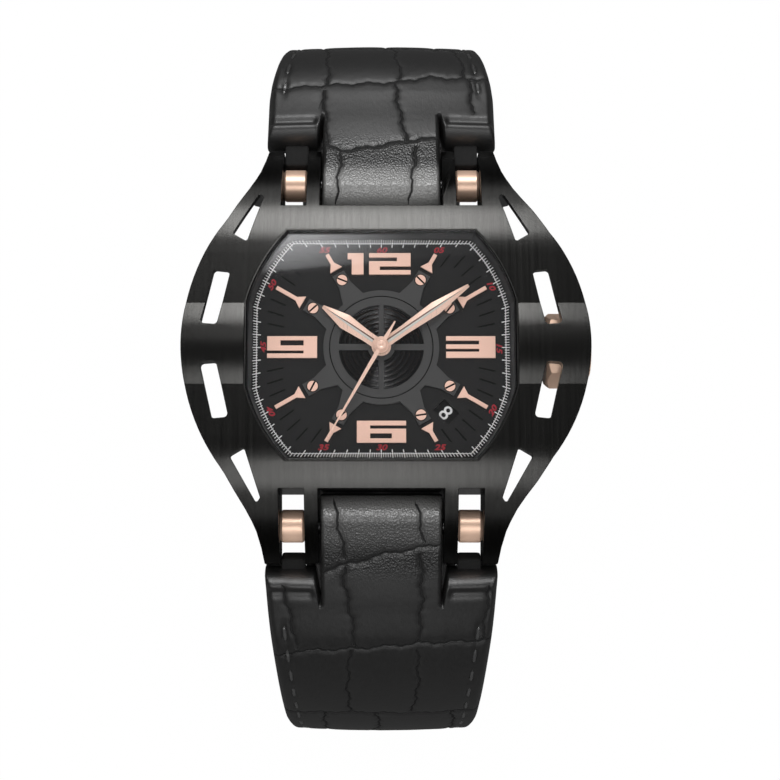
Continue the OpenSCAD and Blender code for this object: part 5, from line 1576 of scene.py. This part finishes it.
@dataclass
class Strap:
    """Both strap halves, the keepers and the buckle."""

    frame: dict

    def short_creases(self) -> list[list[tuple[float, float]]]:
        """Creases of the 12 o'clock half near the case, as (offset, distance from the bar)."""
        return [
            [(-7.1, 22.5), (-6.9, 18.0), (-6.7, 14.2)], [(1.6, 22.5), (2.0, 18.5), (2.6, 14.9)],
            [(9.0, 22.3), (10.2, 19.0), (10.7, 15.4)],
            [(-15.0, 13.6), (-6.7, 14.1), (2.4, 14.5), (6.0, 15.3), (11.3, 15.1), (15.0, 15.6)],
            [(-7.4, 13.3), (-7.0, 8.5), (-6.8, 4.3)], [(1.8, 14.1), (2.2, 10.5), (3.2, 5.0)],
            [(11.3, 15.1), (11.5, 9.6)],
            [(-7.2, 4.3), (-4.7, 3.3), (-1.0, 3.9), (3.2, 4.8), (7.5, 5.4)],
            [(-4.9, 2.6), (-5.5, -3.4)], [(4.4, 4.0), (3.5, -3.4)],
        ]

    def long_creases(self) -> list[list[tuple[float, float]]]:
        """Creases of the 6 o'clock half near the case, as (offset, distance from the bar)."""
        return [
            [(-5.5, -3.5), (-4.2, 2.8)], [(4.3, -3.5), (5.0, 0.6)],
            [(-7.2, 4.6), (-4.0, 3.6), (0.5, 2.2), (4.8, 1.4), (7.4, 0.9)],
            [(-4.4, 4.2), (-4.5, 5.6), (-3.7, 10.0), (-3.1, 14.3)], [(4.7, 2.6), (4.9, 8.0), (4.5, 13.9)],
            [(-11.8, 6.7), (-11.0, 10.5), (-10.3, 14.3)], [(13.0, 6.6), (12.2, 13.7)],
            [(-15.0, 17.2), (-13.5, 16.5), (-10.0, 15.1), (-3.2, 14.6), (4.6, 13.9), (12.0, 13.7), (15.0, 13.9)],
            [(-3.8, 15.2), (-4.2, 20.5), (-3.9, 25.9)], [(4.4, 15.2), (4.6, 20.0), (3.9, 25.9)],
        ]

    def build(self) -> None:
        """Makes and dresses the whole strap."""
        short = StrapPath(22.0, ((14.4, 0.0), bend(12.0, 68.0), (29.0, 0.0), bend(20.0, 75.6)))
        long = StrapPath(27.0, ((10.55, 0.0), bend(25.0, 63.0), (18.4, 0.0), bend(20.0, 90.0), (28.0, 0.0)))
        StrapHalf("strap_short_leather", "strap_short", "short_strap", side=1, path=short, narrow_z=-9.5,
                  creases=self.short_creases(), later_rows=(22.6, 10.5), stitch_start=12.9, seed=11,
                  shoulder_step=2.85, tab_start=3.05, nose_share=0.95, pale_share=0.6, pale_end=1.6).build()
        StrapHalf("strap_long_leather", "strap_long", "long_strap", side=-1, path=long, narrow_z=-28.0,
                  creases=self.long_creases(), later_rows=(26.9, 11.2), stitch_start=11.9, seed=23,
                  shoulder_step=3.5, tab_start=4.2, nose_share=0.55, pale_share=0.13, pale_end=3.0).build()
        Keeper("free_keeper_loop", "free_keeper", "free_keeper", short, at=46.0, below=2.1).build()
        Keeper("fixed_keeper_loop", "fixed_keeper", "short_strap", short, at=short.total - 11.5,
               below=2.05).build()
        dress(self.frame, GUNMETAL_ALONG, "buckle_frame", "buckle_tongue")


def dress_case(frame: dict) -> None:
    """Finishes of the case, its glass, its lugs and the crown."""
    dress(frame, GUNMETAL, "case_frame", "case_container", "case_back")
    dress(frame, BRIGHT_EDGE, "bezel_ring")
    dress(frame, BACK_GLASS, "back_glass")
    dress(frame, SEAL, "back_gasket", "crown_gasket")
    dress(frame, ROSE_POLISHED, "lug_sleeves", "crown")
    dress(frame, DARK_STEEL, "lug_bars", "lug_screws", "back_screws")
    dress(frame, STEEL, "crown_tube")


def dress_movement(frame: dict) -> None:
    """Finishes of the movement, most of them seen through the case back."""
    dress(frame, CIRCLED, "mainplate")
    dress(frame, RIBBED, "train_bridge", "barrel_bridge", "automatic_bridge", "balance_cock",
          "oscillating_weight")
    dress(frame, STEEL, "winding_stem", "winding_pinion", "sliding_pinion", "setting_lever", "crown_wheel",
          "ratchet_wheel", "casing_clamps", "escape_wheel", "pallet_fork", "cannon_pinion", "setting_wheel")
    dress(frame, BLUED, "hairspring", "movement_screws")
    dress(frame, GILT, "mainspring_barrel", "centre_wheel", "third_wheel", "fourth_wheel", "balance_wheel",
          "minute_wheel", "hour_wheel")
    dress(frame, RUBY, "bearing_jewels")
    dress(frame, HOLDER, "movement_holder")


def as_lists(bounds: tuple) -> list[list[float]]:
    """Two corners as plain lists of numbers."""
    return [[float(v) for v in corner] for corner in bounds]


def main() -> None:
    """Builds the watch in order."""
    logging.basicConfig(level=logging.INFO, format="%(message)s")
    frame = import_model()
    cad = as_lists(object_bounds())
    Studio().build(cad[0][2])
    dress_case(frame)
    dress_movement(frame)
    Dial(frame).build()
    Hands(frame).build()
    Strap(frame).build()


if __name__ == "__main__":
    main()
